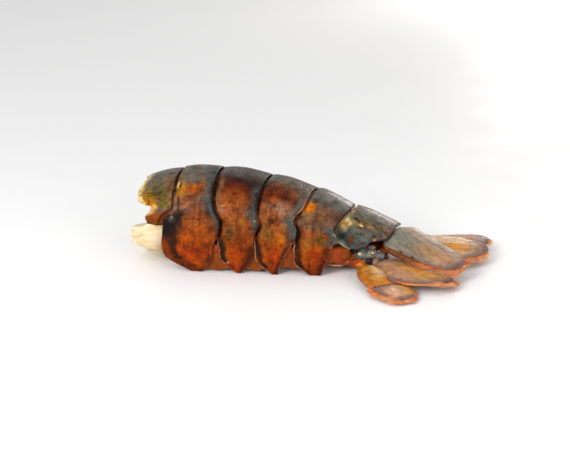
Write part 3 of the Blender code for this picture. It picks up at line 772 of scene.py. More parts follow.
ZONES = {
    1: (
        Zone("cream", 0.95, "front", -1.0, 2.0, 1.3, 0.0, 0.84, 0.05),
        # Painted shade: a thin dark red line along the rear edge, for the gap between this ring and
        # the next
        Zone("dark_red", 0.95, "rear", -1.0, 0.45, 0.2, 0.0, 1.1, 0.05),
        Zone("brown", 0.7, "rear", -1.0, 2.6, 1.2, 0.84, 1.1, 0.04),
    ),
    2: (
        Zone("taupe", 0.85, "body", 0.0, 3.0, 0.4, 0.20, 0.84, 0.05),
        # Painted shade in the groove behind the front facet, which is also sunk 0.35 mm
        Zone("dark_red", 0.8, "body", 3.2, 4.0, 0.25, 0.40, 0.90, 0.05, -0.35),
        Zone("blue_grey", 0.9, "rear", -1.0, 3.4, 1.3, 0.26, 1.16, 0.10, 0.12),
        Zone("blue_black", 0.85, "rear", -1.0, 1.2, 0.7, 0.34, 1.30, 0.08),
        Zone("blue_black", 0.95, "front", -1.0, 8.4, 1.6, 0.86, 1.40, 0.10, -0.30),
        Zone("rust", 0.8, "front", -1.0, 3.2, 1.4, 1.34, 1.80, 0.12, -0.25),
        # Painted shade: a dark brown band in the sunk strip down the front of the flap
        Zone("dark_brown", 0.95, "front", 3.6, 8.0, 1.5, 1.18, 1.82, 0.10, -0.30),
        Zone("dark_rust", 0.8, "front", -1.0, 9.0, 1.8, 1.78, 2.05, 0.08, -0.1),
        Zone("tan", 0.6, "rear", -1.0, 0.7, 0.4, 1.40, 1.90, 0.05, 0.1),
    ),
    3: (
        # A pale strip on the front facet: partly its own colour, partly a painted highlight
        Zone("taupe", 0.7, "body", 0.8, 3.2, 0.9, 0.25, 0.88, 0.06),
        # Painted shade along the ring's front: dark brown over the back where it tucks under the
        # ring ahead, and a dark sunk band down the front of the flap, behind the flap ahead
        Zone("dark_brown", 0.9, "body", -1.0, 0.9, 0.5, 0.0, 1.02, 0.05),
        Zone("band", 0.95, "front", 0.3, 3.2, 1.0, 0.98, 1.88, 0.06, -0.30),
        Zone("blue_grey", 0.85, "rear", -1.0, 3.0, 1.2, 0.30, 1.14, 0.08, 0.12),
        Zone("blue_black", 0.6, "rear", -1.0, 1.0, 0.5, 0.34, 1.20, 0.08),
        Zone("pink_rim", 0.7, "front", -1.0, 0.4, 0.2, 1.20, 1.85, 0.05, 0.1),
        Zone("tan", 0.6, "rear", -1.0, 0.4, 0.2, 0.90, 1.90, 0.05, 0.1),
        Zone("dark_rust", 0.8, "rear", 0.3, 2.4, 1.1, 1.40, 2.05, 0.08),
    ),
    4: (
        # Painted shade along the ring's front: dark brown over the back where it tucks under the
        # ring ahead, and a dark sunk band down the front of the flap, behind the flap ahead
        Zone("dark_brown", 0.9, "body", -1.0, 0.7, 0.4, 0.0, 1.02, 0.05),
        Zone("band", 0.95, "front", 0.4, 3.2, 1.0, 0.98, 1.88, 0.06, -0.30),
        Zone("slate", 0.75, "rear", -1.0, 3.0, 1.2, 0.0, 0.95, 0.08, 0.12),
        Zone("pink_rim", 0.8, "front", -1.0, 0.5, 0.25, 1.25, 1.95, 0.05, 0.1),
        Zone("pink_rim", 0.8, "rear", -1.0, 0.5, 0.25, 0.0, 0.90, 0.05, 0.1),
        Zone("blue_grey", 0.9, "rear", -1.0, 3.6, 1.3, 0.82, 1.18, 0.08),
        Zone("dark_rust", 0.8, "rear", -1.0, 2.4, 1.2, 1.35, 2.05, 0.10),
        Zone("pink_rim", 0.6, "rear", -1.0, 0.35, 0.15, 1.15, 1.90, 0.05, 0.1),
    ),
    5: (
        # Painted shade along the ring's front: dark brown over the back where it tucks under the
        # ring ahead, and a dark sunk band down the front of the flap, behind the flap ahead
        Zone("dark_brown", 0.9, "body", -1.0, 0.6, 0.4, 0.22, 1.02, 0.05),
        Zone("band", 0.95, "front", 0.4, 3.2, 1.0, 0.98, 1.88, 0.06, -0.30),
        Zone("blue_grey", 0.9, "rear", -1.0, 3.6, 1.3, 0.80, 1.22, 0.08),
        Zone("pink_rim", 0.8, "front", -1.0, 0.5, 0.25, 1.25, 1.95, 0.05, 0.1),
        Zone("dark_rust", 0.85, "rear", -1.0, 2.6, 1.2, 1.30, 2.05, 0.10),
        Zone("pink_rim", 0.6, "rear", -1.0, 0.35, 0.15, 0.90, 1.90, 0.05, 0.1),
        # Painted shade: dark red along the rear edge over the back, for the gap at the seam
        Zone("dark_red", 0.8, "rear", -1.0, 0.6, 0.3, 0.0, 0.80, 0.05),
    ),
    6: (
        Zone("bone", 0.75, "body", 0.0, 3.0, 1.0, 0.0, 0.55, 0.06),
        Zone("cream", 0.5, "body", 1.6, 4.6, 1.2, 0.44, 0.70, 0.05),
        # Painted shade: dark red along the rear edge over the back, for the gap at the seam
        Zone("dark_red", 0.6, "rear", -1.0, 0.5, 0.2, 0.0, 0.7, 0.05),
    ),
}
SPOTS = {
    1: (
        Spot("ochre", 1.0, 4.8, 0.68, 2.6, 0.11, 0.1),
        Spot("ochre", 0.7, 3.2, 0.50, 1.6, 0.10),
        Spot("olive", 0.4, 5.6, 0.76, 1.3, 0.05),
        Spot("blue_black", 0.6, 4.4, 0.62, 0.5, 0.03, -0.1),
        Spot("blue_black", 0.5, 3.6, 0.55, 0.4, 0.02, -0.1),
        Spot("blue_black", 0.7, 9.6, 0.50, 0.5, 0.03, -0.1),
        Spot("taupe", 0.8, 8.6, 0.62, 1.2, 0.10),
    ),
    2: (
        Spot("ochre", 1.0, 4.4, 0.53, 1.6, 0.08, 0.1),
        Spot("cream", 0.7, 2.4, 0.44, 0.7, 0.07),
        Spot("blue_black", 0.9, 2.2, 0.50, 0.5, 0.025, -0.1),
        Spot("blue_black", 0.8, 3.4, 0.45, 0.5, 0.02, -0.1),
        Spot("orange", 0.9, 9.5, 0.50, 2.2, 0.10),
        Spot("amber", 0.7, 10.2, 0.44, 0.9, 0.04),
        # Painted reflection: a tan patch for the sheen of a lamp on the wet shell
        Spot("tan", 0.7, 7.0, 0.72, 2.4, 0.10),
        Spot("slate", 0.9, 8.0, 0.28, 4.0, 0.16),
        # Painted highlight: a paler grey spot on the dark front of the flap, near the hinge
        Spot("slate", 0.6, 0.3, 0.98, 1.6, 0.05, 0.1),
        Spot("bone", 0.5, 0.4, 0.94, 0.5, 0.02, 0.2),
        Spot("bone", 0.9, 19.9, 1.80, 0.6, 0.02, 0.2),
    ),
    3: (
        Spot("burnt_orange", 0.6, 9.4, 0.50, 2.4, 0.08),
        Spot("orange_red", 0.7, 10.6, 1.62, 3.0, 0.18),
        Spot("olive", 0.5, 8.0, 1.20, 2.6, 0.14),
        # Painted reflection: a tan patch for the sheen of a lamp on the wet shell
        Spot("tan", 0.8, 6.0, 0.62, 2.6, 0.14),
        Spot("ochre", 0.8, 13.4, 0.98, 1.4, 0.06, 0.1),
        # Painted highlight: a pale spot low on the flap
        Spot("pink_rim", 0.8, 6.4, 1.80, 0.7, 0.03, 0.1),
        Spot("bone", 0.4, 18.6, 0.93, 0.4, 0.02, 0.2),
    ),
    4: (
        Spot("orange", 0.5, 6.6, 0.52, 2.0, 0.08),
        Spot("pink_rim", 0.5, 11.0, 0.62, 3.2, 0.14),
        Spot("amber", 0.5, 11.4, 1.22, 1.6, 0.10),
        Spot("orange_red", 0.8, 8.6, 1.55, 3.0, 0.22),
        Spot("olive", 0.5, 5.0, 1.15, 2.5, 0.14),
        Spot("bone", 0.6, 17.8, 0.90, 0.5, 0.02, 0.2),
    ),
    5: (
        Spot("amber", 1.0, 3.6, 0.44, 1.9, 0.11, 0.1),
        Spot("amber", 0.9, 3.0, 0.52, 1.1, 0.06),
        Spot("ochre", 0.6, 5.2, 0.40, 0.8, 0.05),
        Spot("orange_red", 0.8, 8.0, 1.50, 3.2, 0.22),
        Spot("moss", 0.6, 10.6, 1.10, 2.4, 0.12),
        Spot("olive", 0.4, 5.6, 1.20, 2.2, 0.12),
        Spot("bone", 0.7, 15.9, 0.90, 0.6, 0.02, 0.2),
    ),
    6: (
        # Painted shadow: blue-black in the sunk hollow at the ring's front, near the hinge
        Spot("blue_black", 0.95, 2.6, 0.86, 2.4, 0.13, -0.15),
        Spot("brown", 0.95, 6.8, 0.92, 1.5, 0.14, 0.5),
        Spot("ochre", 0.8, 8.2, 0.42, 1.0, 0.05, 0.1),
        Spot("cream", 0.8, 8.9, 0.46, 0.9, 0.03, 0.1),
        Spot("cream", 0.7, 4.2, 0.50, 1.1, 0.05),
        Spot("ochre", 0.8, 2.4, 0.52, 1.4, 0.08),
        Spot("pink_rim", 0.8, 16.2, 0.72, 0.8, 0.05, 0.2),
        Spot("pink_rim", 0.6, 12.8, 0.40, 1.6, 0.06, 0.1),
        Spot("blue_black", 0.85, 6.0, 0.31, 1.1, 0.05, -0.1),
        Spot("dark_red", 0.7, 7.4, 0.36, 0.9, 0.04, -0.1),
        Spot("slate", 0.7, 11.6, 0.74, 2.2, 0.10, 0.15),
        Spot("purple_grey", 0.9, 17.6, 0.58, 1.9, 0.07, 0.2),
        Spot("dark_red", 0.7, 15.4, 0.62, 0.8, 0.05, -0.1),
    ),
}
# How far the raised rim of a flap stands up, in millimetres
FLAP_RIM = 0.12


def edge_distances(number, s, q):
    """Millimetres behind the ring's front edge, ahead of its rear edge, and behind its border."""
    return {
        "front": (s - front_edge(number, q)) / MM,
        "rear": (rear_edge(number, q) - s) / MM,
        "body": (s - BORDERS[number - 1]) / MM,
    }


def ring_marks(number, s, q, points, wobble):
    """(weight, tone, height) of each zone and spot of a ring, at every point."""
    around = np.abs(q) + 0.035 * wobble * layered(points, 0.0045, 3.0)
    places = edge_distances(number, s, q)
    shift = wobble * (0.7 * layered(points, 0.0040, 11.0) + 0.25 * cloud(points, 0.0009, 5.0))
    for zone in ZONES[number]:
        behind = places[zone.edge] + shift * zone.fade * 1.6
        weight = window(zone.start, zone.end, zone.fade, behind)
        weight = weight * window(zone.low, zone.high, zone.soft, around)
        weight = weight * (1 - 0.5 * wobble * ease(0.0, 0.6, cloud(points, 0.0026, 60.0)))
        yield weight * zone.strength, zone.tone, weight * zone.height
    for spot in SPOTS[number]:
        far = ((places["body"] + shift * 0.6 - spot.back) / spot.length) ** 2
        far = far + ((around - spot.around) / spot.width) ** 2
        weight = np.exp(-(far**1.6))
        yield weight * spot.strength, spot.tone, weight * spot.height


# Wet shell and skin are deeper in colour than their tones, and most so where dark
WET_SHADE = 0.80
SHELL_DEPTH = 1.32
SKIN_DEPTH = 1.15


def paint_ring(number, s, q, u, points):
    """The tints of a ring: tones down its side, then its zones, spots and mottling."""
    around = np.abs(q) + 0.06 * layered(points, 0.0055) + 0.02 * cloud(points, 0.0011, 8.0)
    places, *lists = RING_TONES[number]
    front, middle, rear = (tones_along(places, names.split(), around) for names in lists)
    share = u + 0.13 * layered(points, 0.0045, 2.0)
    colours = front + (middle - front) * ease(0.12, 0.42, share)[..., None]
    colours = colours + (rear - colours) * ease(0.62, 0.92, share)[..., None]
    streaks = layered(vectors(s / 0.0021, q * 2.6, number * 5.0), 1.0, 17.0)
    patches = layered(points, 0.0040, 33.0)
    hues = layered(points, 0.0027, 51.0)
    freckles = layered(points, 0.0017, 40.0)
    colours = tinged(colours, (0.60, 0.52, 0.50), 0.7 * ease(0.08, 0.55, streaks))
    colours = tinged(colours, (1.20, 1.20, 1.16), 0.9 * ease(-0.08, -0.55, streaks))
    colours = mix(colours, TONES["dark_brown"], 0.55 * ease(0.18, 0.60, patches))
    colours = tinged(colours, (0.74, 0.84, 0.90), 0.8 * ease(0.10, 0.50, hues))
    colours = tinged(colours, (1.08, 1.14, 0.80), 0.8 * ease(-0.10, -0.50, hues))
    for weight, name, _ in ring_marks(number, s, q, points, 1.0):
        colours = mix(colours, TONES[name], weight)
    colours = tinged(colours, (0.55, 0.46, 0.40), 0.8 * ease(0.16, 0.55, freckles))
    return WET_SHADE * colours**SHELL_DEPTH


def ring_relief(number, s, q, points, depth):
    """How far the ring's surface stands above its plain form, in metres."""
    relief = 0.10 * layered(points, 0.0065, 1.0) + 0.045 * layered(points, 0.0018, 4.0) - 0.10
    for _, _, height in ring_marks(number, s, q, points, 0.35):
        relief = relief + height
    places = edge_distances(number, s, q)
    nearest = np.minimum(places["front"], places["rear"])
    rim = np.exp(-(((nearest - 0.45) / 0.35) ** 2)) * ease(0.95, 1.1, np.abs(q))
    return (relief + FLAP_RIM * rim) * depth * MM


def build_ring(number, settings, finish):
    """One ring of the shell: its arch over the back and its two side flaps."""
    half = np.linspace(0, 2, settings.columns // 2)
    half = np.concatenate([half, 2 - np.array((0.003, 0.007, 0.014))])
    q = np.unique(np.concatenate([-half, half]))[::-1]
    q = np.where(q == 0, 1e-9, q)
    u = spaced(settings.rows, (0.002, 0.006, 0.013, 0.024))[:, None]
    front, rear = front_edge(number, q), rear_edge(number, q)
    s = front + (rear - front) * u
    q = np.broadcast_to(q, s.shape)
    u = np.broadcast_to(u, s.shape)
    floor = FLAP_FLOORS[number - 1]
    plain = skin_point(s, q, shell_lift(number, s, q), floor)
    normals = grid_normals(plain)
    relief = ring_relief(number, s, q, plain, settings.relief)
    grid = plain + normals * relief[..., None]
    grid[..., 2] = np.maximum(grid[..., 2], 0.0)
    hinge = along(HINGE_HEIGHTS, s) - floor
    edge = np.minimum(np.minimum(u, 1 - u) * (rear - front), np.maximum(2 - np.abs(q), 0) * hinge)
    tints = paint_ring(number, s, q, u, plain)
    under = TONES["taupe"] * 0.8
    return closed_sheet(f"ring_{number}_shell", grid, normals, WALL, edge, finish, tints, under)


def flesh_loop(s, shrink, rough, spokes):
    """One closed loop of points round the flesh, held back at its top and its bottom."""
    point, back, sideways = (np.array(v) for v in midline(s))
    inside = max(s, 0.0)
    width = along(HALF_WIDTHS, inside) - FLESH_CLEARANCE
    rise = along(ARCH_HEIGHTS, inside) - FLESH_CLEARANCE
    floor = FLESH_FLOOR - FLESH_SAG * (1 - ease(*FLESH_SAG_FADE, s))
    floor = floor + FLESH_END_RISE * ease(BORDERS[4], BORDERS[6] - FLESH_END, s)
    hinge = along(HINGE_HEIGHTS, inside)
    core = np.array((0, 0, -FLESH_CORE))
    hold = max(-s, 0.0) + FLESH_HOLD * ease(FLESH_HOLD_FADE, 0.0, inside)
    loop = []
    for spoke in range(spokes):
        angle = 2 * math.pi * spoke / spokes
        sine, cosine = math.sin(angle), math.cos(angle)
        power = FLESH_ROUNDNESS["top" if cosine > 0 else "bottom"]
        out = math.copysign(abs(sine) ** power, sine) * width
        up = math.copysign(abs(cosine) ** power, cosine) * (rise if cosine > 0 else hinge - floor)
        way = sideways * out + np.array((0, 0, up)) - core
        place = core + way * shrink
        slanted = place[2] + FLESH_SLANT * (out * shrink + FLESH_SLANT_FROM)
        held = ease(*FLESH_UPPER, slanted)
        held = held + (1 - held) * ease(*FLESH_LOWER, place[2])
        place = place + back * held * hold
        spot = Vector((out * shrink, up * shrink, s))
        lump = noise.noise(spot * FLESH_GRAINS[0]) + 0.5 * noise.noise(spot * FLESH_GRAINS[1])
        place = place + unit(way) * (0.6 * lump - 0.2) * FLESH_LUMP * rough
        place = place + back * abs(lump) * FLESH_PIT * rough
        loop.append(point + np.array((0, 0, float(hinge))) + place)
    return loop


def flesh_stations(steps):
    """(place on the midline, share of the full section, raggedness) of each loop of the flesh,
    with that many steps over the bulge."""
    rear = BORDERS[6] - FLESH_END
    stations = [(rear, 0.5, 0.0), (rear - 0.004, 0.85, 0.0)]
    stations += [(s, 1.0, 0.0) for run in FLESH_RUNS for s in np.linspace(*run)]
    stations += [(s, 1.0, 0.15 * (1 - s / 0.004)) for s in np.linspace(*FLESH_LIP)]
    for step in range(1, steps + 1):
        angle = FLESH_BULGE_TURN * step / steps
        shrink = math.cos(angle) ** FLESH_BLUNTNESS
        stations.append((-FLESH_REACH * math.sin(angle), shrink, ease(0, 0.15, step / steps)))
    return stations + [(-FLESH_REACH, shrink, 1.0) for shrink in np.linspace(*FLESH_FACE)]


def build_flesh(settings, finish):
    """The tail meat: it fills the shell, and its torn end swells out of the front."""
    stations = flesh_stations(settings.bulge_steps)
    loops = np.array([flesh_loop(*station, settings.spokes) for station in stations])
    reach = np.array([max(-station[0], 0.0) / FLESH_REACH for station in stations])[:, None]
    round_ = np.roll(loops, -1, 1) - np.roll(loops, 1, 1)
    normals = unit(np.cross(np.gradient(loops, axis=0), round_))
    strands = layered(loops * np.array((0.25, 1.0, 1.0)), 0.0013, 9.0)
    shreds = np.abs(layered(loops * np.array((0.30, 1.0, 0.8)), 0.0030, 21.0))
    depth = (0.30 * strands - 0.30 - 0.8 * ease(0.20, 0.0, shreds)) * MM * settings.raggedness
    grid = loops + normals * (depth * ease(0.0, 0.12, reach + 0.02))[..., None]
    cut, back, _ = midline(0.0)
    past = np.minimum((grid - cut) @ back + FLESH_REACH, 0.0)
    grid = grid - past[..., None] * back
    points, faces = closed_tube(grid)
    yellow = 0.36 + 0.6 * layered(grid, 0.006)
    tints = mix(TONES["flesh_white"], TONES["flesh_yellow"], yellow)
    tints = np.concatenate([tints.reshape(-1, 3), tints[0, :1], tints[-1, :1]])
    return finish_mesh("flesh_meat", points, faces, finish, tints)


def build_belly(settings, finish):
    """The ribbed skin under the flesh, which turns up inside the side flaps."""
    end = BORDERS[6] - BELLY_END
    s = (BELLY_START + (end - BELLY_START) * spaced(settings.rows, (0.003, 0.008)))[:, None]
    across = np.linspace(1, -1, settings.columns)[None, :]
    s, across = np.broadcast_arrays(s, across)
    point, _, sideways = midline(s)
    narrowing = ease(end - BELLY_NARROWING[0], end - BELLY_NARROWING[1], s)
    half = (along(HALF_WIDTHS, s) - BELLY_CLEARANCE) * (1 - (1 - BELLY_END_WIDTH) * narrowing)
    floor = BELLY_FLOOR - BELLY_DROP * ease(BORDERS[4], BORDERS[5], s)
    top = np.minimum(BELLY_TOP, along(HINGE_HEIGHTS, s) - BELLY_UNDER_HINGE)
    top = top - BELLY_END_DIP * narrowing
    nearest = np.min([np.abs(s - border) for border in BORDERS[1:6]], axis=0)
    rib = 1 - ease(*RIB_WIDTH, nearest)
    angle = across * math.pi / 2
    out = np.sign(across) * np.abs(np.sin(angle)) ** BELLY_ROUNDNESS["side"] * half
    sag = np.maximum(np.cos(angle), 0) ** BELLY_ROUNDNESS["bottom"]
    up = top - (top - floor) * sag - RIB_HEIGHT * rib * np.cos(angle)
    grid = point + sideways * out[..., None]
    grid[..., 2] += up
    normals = grid_normals(grid)
    folds = layered(grid * np.array((1.0, 0.4, 1.0)), 0.0024, 13.0) * (1 - 0.6 * rib)
    grid = grid + normals * (folds * settings.folds * MM)[..., None]
    under = TONES["belly_red"]
    tints = mix(under, TONES["belly_orange"], 0.35 + 0.5 * layered(grid, 0.005, 2.0))
    tints = mix(tints, TONES["bone"], 0.35 * rib * (1 - ease(0.55, 0.9, np.abs(across))))
    edge = np.full(s.shape, BELLY_SKIN)
    edge[0], edge[-1], edge[:, 0], edge[:, -1] = 0, 0, 0, 0
    return closed_sheet("belly_skin", grid, normals, BELLY_SKIN, edge, finish, tints, under, 3)


# The soft skin inside the flaps, which shows in the notches between them: places along the
# midline, and the height of its lower edge there
SIDE_SKIN_PLACES = (0.0150, 0.0235, 0.0400, 0.0435, 0.0560, 0.0610, 0.0660, 0.0790, 0.0860, 0.0930)
SIDE_SKIN_FEET = (0.0030, 0.0012, 0.0012, 0.0014, 0.0016, 0.0030, 0.0030, 0.0036, 0.0062, 0.0090)
SIDE_SKIN_TOP = 0.0125
SIDE_SKIN_INSET = 0.0021
SIDE_SKIN_WALL = 0.0009
SIDE_SKIN_COLUMNS = 40
# A pale strip down it: its place along the midline, and half its width
PALE_STRIP = (0.0316, 0.0006)


def build_side_skin(side, settings, finish):
    """The soft skin hanging inside one row of flaps, folded, with painted highlights in pale
    streaks.
    """
    s = np.linspace(SIDE_SKIN_PLACES[0], SIDE_SKIN_PLACES[-1], settings.rows)[:, None]
    down = np.linspace(0, 1, SIDE_SKIN_COLUMNS)[None, :: SIDES[side]]
    s, down = np.broadcast_arrays(s, down)
    point, _, sideways = midline(s)
    foot = curve_through(SIDE_SKIN_PLACES, SIDE_SKIN_FEET, s)
    foot = foot + 0.0005 * cloud(vectors(s, 0, 0), 0.0022, 5.0)
    top = np.minimum(SIDE_SKIN_TOP, along(HINGE_HEIGHTS, s) - 0.002)
    inward = SIDE_SKIN_INSET + 0.0010 * down**2 + 0.0012 * ease(0.30, 0.0, down)
    grid = point + sideways * (SIDES[side] * (along(HALF_WIDTHS, s) - inward))[..., None]
    grid[..., 2] = top + (foot - top) * down
    normals = grid_normals(grid)
    folds = layered(grid * np.array((1.0, 1.0, 0.35)), 0.0016, 6.0)
    grid = grid + normals * (0.55 * MM * folds)[..., None]
    pale = layered(grid * np.array((1.0, 1.0, 0.3)), 0.0020, 12.0)
    red = layered(grid, 0.0030, 31.0)
    strip = np.exp(-(((s - PALE_STRIP[0]) / PALE_STRIP[1] + 0.8 * folds) ** 2))
    tints = mix(TONES["skin_brown"], TONES["dark_rust"], 0.5 + 0.9 * folds)
    # Painted highlights: pale streaks down the skin for wet glints
    tints = mix(tints, TONES["foot_pale"], 0.9 * ease(0.12, 0.40, pale))
    tints = mix(tints, TONES["orange"], 0.8 * ease(0.10, 0.50, red))
    tints = mix(tints, TONES["dark_red"], 0.8 * ease(0.55, 0.15, down))
    tints = mix(tints, TONES["bone"], strip * window(0.1, 0.9, 0.1, down))
    tints = mix(tints, TONES["tan"], 0.6 * ease(0.90, 0.98, down))
    tints = WET_SHADE * tints**SKIN_DEPTH
    edge = np.minimum(down, 1 - down) * 0.012
    name, under = f"side_skin_{side}", TONES["rust"]
    return closed_sheet(name, grid, normals, SIDE_SKIN_WALL, edge, finish, tints, under, 4)


def blade_half_width(blade, t):
    """A blade's half width at t, as a share of its greatest."""
    if blade.widest == 0.0:
        growth = MIDDLE_ROOT + (1 - MIDDLE_ROOT) * ease(0.0, MIDDLE_FULL, t)
        return (1 - MIDDLE_TAPER * t) * growth
    grow = np.sin(np.minimum(t / blade.widest, 1.0) * math.pi / 2)
    fall = TIP_LOSS * np.maximum((t - blade.widest) / (1 - blade.widest), 0.0) ** 2
    return blade.root_share + (1 - blade.root_share) * grow - fall


def blade_form(blade, t, c):
    """Points on the top of a blade in its own frame, inside its fringe."""
    half = blade.half_width * blade_half_width(blade, t)
    bow = blade.end_bow * np.abs(c) ** 2.2 * half * ease(0.3, 1.0, t)
    rise = blade.crown * (1 - c**2) * (1 - 0.5 * t)
    keel = KEEL_HEIGHT * np.exp(-((c / KEEL_WIDTH) ** 2)) * (1 - ease(0.75, 1.0, t))
    return vectors(t * blade.length - bow, c * half, (rise + keel) * ease(*CROWN_START, t))


def fan_origin():
    """The hinge of the fan at the rear end of the body, and the directions backwards and to +Y."""
    origin, back, sideways = (Vector(v) for v in midline(BORDERS[6]))
    return origin + Vector((0, 0, HINGE_HEIGHTS[6])), back, sideways


def blade_matrix(blade):
    """Puts a blade's own frame in its place on the tail."""
    origin, back, sideways = fan_origin()
    fan = Matrix((back, sideways, (0, 0, 1))).transposed().to_4x4()
    fan.translation = origin
    turn = Euler([math.radians(a) for a in (blade.roll, -blade.pitch, blade.yaw)], "XYZ")
    return fan @ Matrix.Translation(blade.place) @ turn.to_matrix().to_4x4()


def placed(points, matrix):
    """The points moved and turned by a matrix."""
    turn = np.array(matrix)
    return points @ turn[:3, :3].T + turn[:3, 3]


# How the blades are painted. Patch: its tone and strength, its start, end and softness along
# the blade, the same across it, and how far it stands up in millimetres
Patch = namedtuple("Patch", "tone strength start end fade low high soft height", defaults=(0.0,))
BLADE_TONES = {
    "middle_blade": "blade_grey",
    "inner_blade_left": "blade_tan",
    "inner_blade_right": "blade_pale",
    "outer_blade_left": "blade_yellow",
    "outer_blade_right": "blade_tan",
    "outer_tip_left": "blade_pink",
    "outer_tip_right": "purple_grey",
}
PATCHES = {
    "middle_blade": (
        Patch("slate", 0.7, -0.1, 0.30, 0.14, -1.1, -0.1, 0.25),
        Patch("blade_tan", 0.5, 0.40, 1.1, 0.20, -0.80, 0.3, 0.25),
        Patch("blade_yellow", 0.35, 0.50, 0.80, 0.14, -0.55, 0.0, 0.2),
        # Pale pink over the far side: partly its own colour, partly a painted highlight along the
        # ridge and over the side turned away from the key lamp
        Patch("pink_grey", 0.65, 0.02, 1.1, 0.10, 0.10, 1.2, 0.20, 0.1),
        Patch("taupe", 0.5, 0.10, 0.8, 0.1, 0.24, 0.44, 0.10),
        Patch("blade_pink", 0.4, 0.72, 0.92, 0.08, -0.80, 0.3, 0.2),
        # Painted highlight: a pale spot on a small bump at the root
        Patch("bone", 0.6, -0.1, 0.05, 0.04, -0.20, 0.25, 0.12, 0.2),
    ),
    "inner_blade_left": (
        Patch("purple_grey", 0.5, -0.1, 0.22, 0.14, -1.1, 1.1, 0.25),
        Patch("blade_yellow", 0.9, 0.30, 0.86, 0.14, -0.45, 0.75, 0.25),
        Patch("amber", 0.35, 0.45, 0.75, 0.12, -0.1, 0.5, 0.25),
        Patch("blade_pink", 0.5, 0.12, 0.70, 0.14, -0.95, -0.35, 0.2),
    ),
    "inner_blade_right": (
        Patch("blade_pale", 0.95, -0.1, 0.88, 0.14, 0.00, 1.2, 0.3),
        Patch("blade_yellow", 0.9, 0.30, 0.86, 0.14, -0.55, 0.15, 0.25),
        Patch("amber", 0.4, 0.45, 0.80, 0.12, -0.35, 0.0, 0.2),
        Patch("blade_grey", 0.25, 0.35, 1.1, 0.16, -1.2, -0.55, 0.2),
        Patch("blade_rim", 0.5, 0.80, 1.1, 0.10, -1.2, 1.2, 0.1),
    ),
    "outer_blade_left": (
        Patch("orange", 0.8, -0.1, 0.60, 0.14, -1.2, -0.60, 0.2),
        Patch("blade_pale", 0.7, 0.12, 0.42, 0.10, -0.20, 0.35, 0.2),
        Patch("purple_grey", 0.6, -0.1, 0.16, 0.10, 0.2, 1.2, 0.25),
        Patch("blade_orange", 0.7, 0.40, 0.70, 0.10, 0.2, 1.2, 0.25),
        Patch("blade_orange", 0.6, 0.50, 0.70, 0.06, -1.2, 0.2, 0.25),
    ),
    "outer_blade_right": (
        Patch("blade_grey", 0.7, -0.1, 0.5, 0.14, -1.2, 1.2, 0.25),
        Patch("blade_pale", 0.25, 0.1, 0.7, 0.1, 0.1, 1.2, 0.25),
    ),
    "outer_tip_left": (
        Patch("purple_grey", 0.7, 0.60, 0.76, 0.06, -1.2, 0.1, 0.3),
        Patch("blade_yellow", 0.8, 0.62, 0.94, 0.06, 0.25, 1.2, 0.3),
        Patch("blade_pale", 0.5, 0.72, 0.88, 0.06, -0.5, 0.3, 0.2),
    ),
    "outer_tip_right": (
        Patch("blade_pink", 0.8, 0.60, 0.84, 0.05, -0.5, 0.9, 0.2),
    ),
}
# The soft dark rims of the plates: width in millimetres and strength on the -Y and the +Y
# side, where along the blade the rim starts on either side, and its width and strength at
# the end
Rim = namedtuple("Rim", "widths strengths starts end_width end_strength")
RIMS = {
    "middle_blade": Rim((2.6, 0.6), (0.75, 0.2), (0.35, 0.80), 4.6, 0.95),
    "inner_blade_left": Rim((4.4, 2.0), (0.9, 0.6), (0.45, 0.62), 5.5, 0.95),
    "inner_blade_right": Rim((4.6, 1.4), (0.8, 0.4), (0.50, 0.80), 6.5, 0.9),
    "outer_blade_left": Rim((1.4, 1.2), (0.5, 0.5), (0.20, 0.30), 1.2, 0.6),
    "outer_blade_right": Rim((1.4, 1.4), (0.5, 0.5), (0.20, 0.20), 1.2, 0.5),
    "outer_tip_left": Rim((4.2, 2.6), (0.95, 0.55), (0.50, 0.50), 5.4, 0.95),
    "outer_tip_right": Rim((2.0, 2.0), (0.8, 0.8), (0.50, 0.50), 3.2, 0.9),
}


def blade_marks(name, t, c, points):
    """(weight, tone, height) of each patch of a blade, at every point."""
    length = t + 0.05 * layered(points, 0.0040, 8.0)
    across = c + 0.16 * layered(points, 0.0042, 6.0)
    for patch in PATCHES[name]:
        weight = window(patch.start, patch.end, patch.fade, length)
        weight = weight * window(patch.low, patch.high, patch.soft, across)
        yield weight * patch.strength, patch.tone, weight * patch.height


def paint_blade(name, t, c, points, edge):
    """The tints of a blade: its patches over one tone, fine streaks, and its dark rim. edge is
    how far each point is from the blade's sides, and from its end."""
    colours = TONES[BLADE_TONES[name]]
    for weight, tint, _ in blade_marks(name, t, c, points):
        colours = mix(colours, TONES[tint], weight)
    streaks = layered(vectors(t * 5, c * 6, 0), 1.0, 3.0)
    grain = layered(points, 0.0013, 9.0)
    colours = tinged(colours, (0.70, 0.62, 0.56), 0.45 * ease(0.05, 0.55, streaks))
    colours = tinged(colours, (1.18, 1.16, 1.12), 0.5 * ease(-0.05, -0.55, streaks))
    colours = tinged(colours, (0.66, 0.58, 0.54), 0.6 * ease(0.10, 0.50, grain))
    rim = RIMS[name]
    soft = 1 + 0.45 * layered(points, 0.0030, 19.0)
    side = (c > 0).astype(int)
    width = np.array(rim.widths)[side] * soft
    weight = np.array(rim.strengths)[side] * (1 - ease(0.25, 1.0, edge[0] / MM / width))
    weight = weight * ease(-0.08, 0.10, t - np.array(rim.starts)[side])
    ending = rim.end_strength * (1 - ease(0.25, 1.0, edge[1] / MM / (rim.end_width * soft)))
    return mix(colours, TONES["blade_rim"], np.maximum(weight, ending))


# How far a plate swells up along its middle
PUFF = 0.0006
